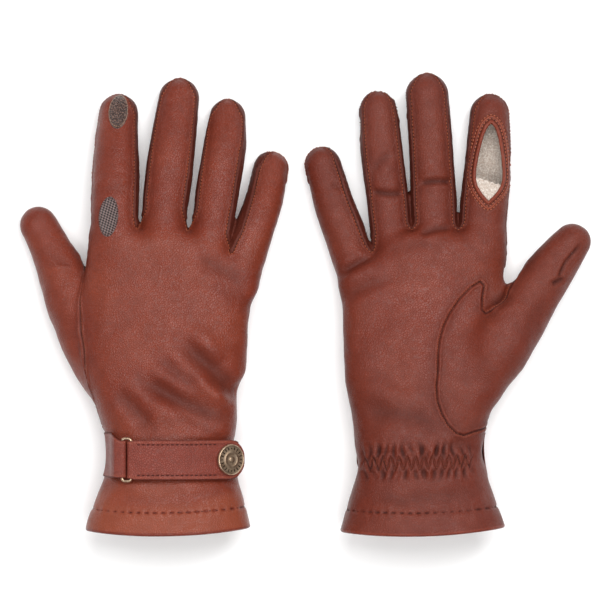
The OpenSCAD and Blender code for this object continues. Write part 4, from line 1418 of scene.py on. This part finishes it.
def make_strap(g):
    name = g["name"]
    step = pick(1.0)
    # the upper layer, from its rounded end over the stud to the loop and round its bar
    r = FLAP_R + STRAP_T / 2
    end = STRAP_W / 2
    t = np.linspace(0, 90, 20)
    reach = end * np.cos(np.radians(t))
    tip_a = g["snap_a"] + np.degrees(reach / r)
    tip_half = np.maximum(end * np.sin(np.radians(t)), 0.35)
    run_a = np.arange(g["snap_a"] - 1.0, FLAP_BAR_A, -step)
    centre, out = on_drum(np.concatenate([tip_a, run_a, [FLAP_BAR_A]]), r)
    narrow = ease((FLAP_BAR_A + 2.6 - np.concatenate([run_a, [FLAP_BAR_A]])) / 2.2)
    half = np.concatenate([tip_half, end - narrow * (end - TURN_HALF)])
    c2, o2 = bar_turn(FLAP_BAR_A, 0, 178, 16)
    centre, out = np.vstack([centre, c2[1:]]), np.vstack([out, o2[1:]])
    half = np.concatenate([half, np.full(15, TURN_HALF)])
    lead = np.ones(len(centre))
    lead[:6] = np.sqrt(np.clip(np.arange(6) / 5, 0.06, 1))
    sewn = np.zeros(len(centre))
    sewn[20 : 20 + len(run_a) - 3] = 1
    obj = strap_sheet(name + "_strap", centre, out, half, 0, STRAP_T, STRAP_MAT, g, sewn, lead)
    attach(dress(obj, "strap_leather", name + "_strap_flap"), name + "_strap")
    parts = []
    for side in (-1, 1):
        a = np.arange(g["snap_a"] - 8, FLAP_BAR_A + 2.0, pick(-2.3))
        p, o = on_drum(a, FLAP_R + STRAP_T - 0.2, side * (end - 2.4))
        parts.append(stitches(np.hstack([p, o]), 1.5, 0.33, -0.04))
    V, faces = merge(parts)
    obj = add_mesh(name + "_strap_sewing", V, faces, DARK_THREAD_MAT, g)
    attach(dress(obj, "strap_leather"), name + "_strap")

    # the lower layer, sewn to the back of the wrist, with its end turned down on the leather
    last = g["snap_a"] + 9.5
    a = np.arange(FLAP_BAR_A + 3.6, last, step)
    centre, out = on_drum(a, DRUM_R + STRAP_T / 2)
    down = ease((a - last + 5.5) / 5.5)
    centre = centre - out * (0.7 * down**2)[:, None]
    half = np.full(len(a), ANCHOR_HALF) - 1.6 * ease((a - last + 4.5) / 4.5) ** 2
    lead = np.clip(np.minimum(np.arange(len(a)), np.arange(len(a))[::-1]) / 1.5 + 0.3, 0, 1)
    centre, out, half = centre[::-1], out[::-1], half[::-1]
    obj = strap_sheet(name + "_under_strap", centre, out, half, 0, STRAP_T, STRAP_MAT, g, None, lead)
    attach(dress(obj, "strap_leather", name + "_strap_anchor"), name + "_glove")

    # the tab: sewn down on the side of the wrist, over the loop's other bar and back under itself
    a = np.arange(TAB_START_A, TAB_BAR_A, pick(0.7))
    rise = ease((a - TAB_START_A + 1) / 5.0)
    centre, out = on_drum(a, DRUM_R + STRAP_T / 2 + 0.05 + rise * (FLAP_R - DRUM_R))
    c2, o2 = bar_turn(TAB_BAR_A, 0, -180, 16)
    a3 = np.arange(TAB_BAR_A - 0.6, TAB_START_A, -0.8)
    c3, o3 = on_drum(a3, DRUM_R + STRAP_T / 2 + 0.03)
    taper = ease((a - TAB_START_A) / (TAB_BAR_A - TAB_START_A))
    centre, out = np.vstack([centre, c2, c3]), np.vstack([out, o2, -o3])
    half = np.concatenate([12.05 - 1.85 * taper, np.full(len(c2) + len(c3), TAB_HALF)])
    shift = np.concatenate([2.45 - 2.05 * taper, np.full(len(c2) + len(c3), 0.4)])
    # the rows that run down the side follow the leather under them
    k = 10
    t = np.linspace(1, 0.08, k)[:, None]
    side_rows = []
    for c in spread():
        first = centre[0] + [0, shift[0] + half[0] * c, 0]
        y = np.full((k, 1), first[1])
        xl, mid_z = at(g, "xl", y), at(g, "rise", y)
        angle = math.pi / 2 * (0.06 + 0.94 * (1 - t)) * 0.93
        b = first[2] - mid_z
        guess = np.hstack([xl + (first[0] - xl) * (1 - np.cos(angle)) ** 0.8, y, mid_z + b * np.sin(angle)])
        guess = settle(guess, g, 0, 5)
        N = slope(guess, g)
        D, _ = detail(guess, g, g["seed"])
        place = guess + N * (D + STRAP_T / 2 - 0.05)[:, None]
        w = ease((np.arange(k) - (k - 5)) / 5.0)[:, None]
        side_rows.append((place * (1 - w) + (first + (place - place[-1])) * w, N))
    P = np.stack([p for p, _ in side_rows], 1)
    O = np.stack([n for _, n in side_rows], 1)
    lead = np.ones(len(centre) + k)
    lead[:3] = (0.35, 0.75, 0.95)
    lead[-3:] = (0.9, 0.6, 0.3)
    obj = strap_sheet(name + "_loop_tab", centre, out, half, shift, STRAP_T - 0.06, STRAP_MAT, g,
                      None, lead, (P, O))
    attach(dress(obj, "strap_leather", name + "_ring_tab"), name + "_glove")


def make_loop(g):
    """The wire loop: a rounded rectangle bent from one wire."""
    name = g["name"]
    mid = (TAB_BAR_A + FLAP_BAR_A) / 2
    spread_a = math.radians((FLAP_BAR_A - TAB_BAR_A) / 2)
    centre, up = on_drum(mid, BAR_R * math.cos(spread_a))
    along = np.array([up[2], 0, -up[0]])
    hx, hy, corner = BAR_R * math.sin(spread_a), 11.6, 1.6
    pts = []
    for k, (sx, sy) in enumerate(((1, 1), (-1, 1), (-1, -1), (1, -1))):
        t = np.radians(np.linspace(90 * k, 90 * k + 90, 10))
        bend = corner * np.cos(t), corner * np.sin(t)
        pts.append(np.stack([sx * (hx - corner) + bend[0], sy * (hy - corner) + bend[1]], 1))
    pts = np.vstack(pts)
    loop = resample(np.hstack([pts, np.zeros((len(pts), 1))]), True, 0.35)
    loop = smooth_rows(loop, True, 2)
    path = centre + loop[:, :1] * along + loop[:, 1:2] * np.array([0, 1.0, 0])
    V, faces = sweep(path, np.tile(up, (len(path), 1)), circle_ring(0.78, 20), True)
    obj = add_mesh(name + "_wire_loop", V, faces, BRASS_MAT, g)
    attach(dress(obj, "brass", name + "_strap_ring"), name + "_ring")


def lathe(profile, n):
    """A turned shape about Z from (radius, height) points, starting and ending on the axis."""
    r, z = np.array(profile).T
    t = np.arange(n) / n * 2 * math.pi
    V = np.stack([np.outer(r, np.cos(t)), np.outer(r, np.sin(t)), np.outer(z, np.ones(n))], -1).reshape(-1, 3)
    i, j = np.meshgrid(np.arange(len(r) - 1), np.arange(n), indexing="ij")
    k = (j + 1) % n
    q = np.stack([i * n + j, i * n + k, (i + 1) * n + k, (i + 1) * n + j], -1).reshape(-1, 4)
    return V, [q]


def make_snap(g):
    name = g["name"]
    centre, up = on_drum(g["snap_a"], FLAP_R + STRAP_T)
    along = np.array([up[2], 0, -up[0]])
    turn = np.stack([along, [0, 1.0, 0], up])
    n = pick(96)
    # a nearly flat face in a rolled rim, with a ring of short raised bars and a small boss
    profile = [(0.01, 0.05), (7.4, 0.05), (8.0, 0.25), (8.4, 0.7), (8.5, 1.25), (8.42, 1.75), (8.2, 2.15),
               (7.95, 2.34), (7.7, 2.34), (7.5, 2.2), (7.4, 2.05), (7.2, 2.02), (5.3, 2.12), (4.2, 2.17),
               (4.05, 2.3), (3.85, 2.33), (3.65, 2.3), (3.5, 2.19), (2.2, 2.24), (1.45, 2.27), (1.3, 2.42),
               (1.05, 2.52), (0.6, 2.57), (0.01, 2.58)]
    dark = np.interp([p[0] + (20 if i < 9 else 0) for i, p in enumerate(profile)],
                     [0, 1.0, 1.5, 2.0, 3.4, 3.55, 3.8, 4.1, 4.3, 5.3, 7.1, 7.4, 7.6, 7.8, 30],
                     [0.0, 0.0, 0.8, 0.1, 0.1, 0.7, 0.0, 0.7, 0.1, 0.08, 0.12, 0.9, 0.4, 0.0, 0.0])
    V, F = lathe(profile, n)
    shade = np.repeat(dark, n)
    parts = [(V, F)]
    bars = []
    count = 20
    corners = (-1, -1), (1, -1), (1, 1), (-1, 1)
    box_faces = np.array([[4, 5, 6, 7], [0, 1, 5, 4], [1, 2, 6, 5], [2, 3, 7, 6], [3, 0, 4, 7], [3, 2, 1, 0]])
    for k in range(count):
        t = 2 * math.pi * k / count
        long = 0.85 if k % 5 else 0.4
        box = np.array([[x * long, y * 0.4, z] for z in (1.9, 2.27) for x, y in corners])
        box[4:, 0] *= 0.85
        box[4:, 1] *= 0.6
        box[:, 0] += 6.15
        c, s = math.cos(t), math.sin(t)
        turned = np.stack([box[:, 0] * c - box[:, 1] * s, box[:, 0] * s + box[:, 1] * c, box[:, 2]], 1)
        bars.append((turned, [box_faces]))
    V, F = merge(parts + bars)
    shade = np.concatenate([shade, np.ones(8 * count)])
    post = [(0.01, -2.2), (1.2, -2.2), (1.3, -2.1), (1.3, 0.0), (1.3, 0.3), (0.01, 0.3)]
    V, F = merge([(V, F), lathe(post, 24)])
    shade = np.concatenate([shade, np.zeros(24 * len(post))])
    obj = add_mesh(name + "_stud_cap", V @ turn + centre, F, BRASS_MAT, g, None, shade)
    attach(dress(obj, "brass", name + "_snap_cap"), name + "_strap")
    for node in ("snap_stud", "snap_eyelet", "snap_socket"):
        for slot in frame["nodes"][f"{name}_{node}"].material_slots:
            slot.material = BRASS_MAT


# ---------------------------------------------------------------- sewing


def make_sewing(g, lines):
    name = g["name"]
    A, T = lines["skin"]
    B = A[:, 7:10]
    strip = strip_field(B, g)
    thumb = thumb_field(B, g)
    slit = slit_field(B, g)
    spec = {
        "sewing": (THREAD_MAT, "leather"),
        "fingertip_sewing": (THREAD_MAT, "leather"),
        "thumb_sewing": (THREAD_MAT, "leather"),
        "slit_sewing": (LIGHT_THREAD_MAT, "leather_edge"),
        "hem_sewing": (DARK_THREAD_MAT, "leather_edge"),
        "elastic_sewing": (RED_THREAD_MAT, "elastic"),
    }
    groups = {key: [] for key in spec}

    def place(rows, length, radius, key, sink=0.05, turn=0.0):
        if len(rows) > 3:
            groups[key].append(stitches(rows, length, radius, sink, turn))

    def share(rows, length, radius, sink, turn=0.0):
        hood = hood_field(rows[:, 7:10], g, FOLD_START - 1) < 0
        for key, mask in (("sewing", ~hood), ("fingertip_sewing", hood)):
            place(rows[mask], length, radius, key, sink, turn)

    pitch = pick(1.9)
    T_fingers = T[(thumb > 3)[T].all(1)]
    for rows, closed in rows_on(A, T_fingers, strip - 0.75, pitch):
        share(rows[rows[:, 8] > 98], 1.25, 0.2, 0.0)
    for rows, closed in rows_on(A, T, thumb - 0.7, pick(1.5)):
        place(rows, 0.9, 0.13, "thumb_sewing", 0.04)
    for off in (-1.7, -3.7):
        for rows, closed in rows_on(A, T, slit + off, pick(2.0), True):
            place(rows, 1.3, 0.27, "slit_sewing", 0.0)
    hem = hem_field(B, g)
    for rows, closed in rows_on(A, T, hem, pick(HEM_PITCH), True, 5):
        place(rows, 1.6, 0.2, "hem_sewing", 0.1)
    # zigzag over the elastic
    x = np.arange(ELASTIC_X0 - 1, ELASTIC_X1 + 1, pick(0.25))
    y = ELASTIC_Y + ELASTIC_TILT * x + ZIG_H * (4 * np.abs((x / ZIG) % 1 - 0.5) - 1)
    z = np.interp(y, YS, g["rise"]) - 21.0
    P = settle(np.stack([x, y, z], 1), g, 0, 6)
    rows = columns(P, g, g["seed"])
    rows = rows[:, :6]
    rows = resample(rows, False, pick(0.95))
    place(rows, 0.95, 0.2, "elastic_sewing", -0.02)
    for key, parts in groups.items():
        if not parts:
            continue
        V, faces = merge(parts)
        obj = add_mesh(f"{name}_{key}", V, faces, spec[key][0], g)
        if key in ("fingertip_sewing", "slit_sewing"):
            fold_with(obj)
        else:
            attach(obj, name + "_glove")


for number, g in enumerate(GLOVES):
    g["seed"] = 11 + 40 * number
    lines = make_leather(g, g["seed"])
    make_lining(g, g["seed"])
    make_hem(g, lines)
    make_binding(g, lines)
    make_patch(g, lines, 131.5, g["hook"], (5.2, 11.0), "hook_patch", HOOK_MAT, "_glove",
               WEAVE_PITCH, DARK_THREAD_MAT)
    make_patch(g, lines, 188.0, np.array(g["loop"]) + [0, 1.3], (5.2, 9.2), "loop_patch", LOOP_MAT,
               "_fingertip", LOOP_PITCH, BEIGE_THREAD_MAT)
    make_strap(g)
    make_loop(g)
    make_snap(g)
    make_sewing(g, lines)


# ---------------------------------------------------------------- floor, lights and camera

floor = bpy.data.meshes.new("floor")
floor.from_pydata([(-4, -4, 0), (4, -4, 0), (4, 4, 0), (-4, 4, 0)], [], [(0, 1, 2, 3)])
floor_obj = bpy.data.objects.new("floor", floor)
bpy.context.collection.objects.link(floor_obj)
paper = Nodes("white_paper")
paper.finish((0.9, 0.9, 0.9, 1), 0.9, Emission_Color=(1, 1, 1, 1), Emission_Strength=0.12)
floor.materials.append(paper.mat)

scene = bpy.context.scene
scene.view_settings.view_transform = "Standard"
sky = bpy.data.worlds.new("studio")
scene.world = sky
sky.use_nodes = True
sky.node_tree.nodes["Background"].inputs[0].default_value = (1, 1, 1, 1)
sky.node_tree.nodes["Background"].inputs[1].default_value = 0.22


def lamp(name, where, size, power, aim=(0, 0.03, 0)):
    data = bpy.data.lights.new(name, "AREA")
    data.shape = "RECTANGLE"
    data.size, data.size_y = size
    data.energy = power
    obj = bpy.data.objects.new(name, data)
    obj.location = where
    obj.rotation_euler = (Vector(aim) - Vector(where)).to_track_quat("-Z", "Y").to_euler()
    bpy.context.collection.objects.link(obj)


lamp("overhead", (0.12, 0.58, 1.9), (1.2, 0.85), 24)
lamp("front", (0.0, -0.6, 1.9), (1.2, 0.8), 18)
lamp("key", (0.8, 0.85, 1.5), (0.7, 0.7), 11)
lamp("fill", (-1.1, 0.35, 1.6), (1.0, 1.0), 6)

EYE = (-0.00074, 0.00056, 3.0)
VIEW_WIDTH, VIEW_HEIGHT = 0.3355, 0.025  # the camera takes in this width at this height above the floor
camera = bpy.data.cameras.new("camera")
camera.sensor_width = 36
camera.lens = camera.sensor_width * (EYE[2] - VIEW_HEIGHT) / VIEW_WIDTH
camera.clip_end = 20
eye = bpy.data.objects.new("camera", camera)
eye.location = EYE
bpy.context.collection.objects.link(eye)
scene.camera = eye
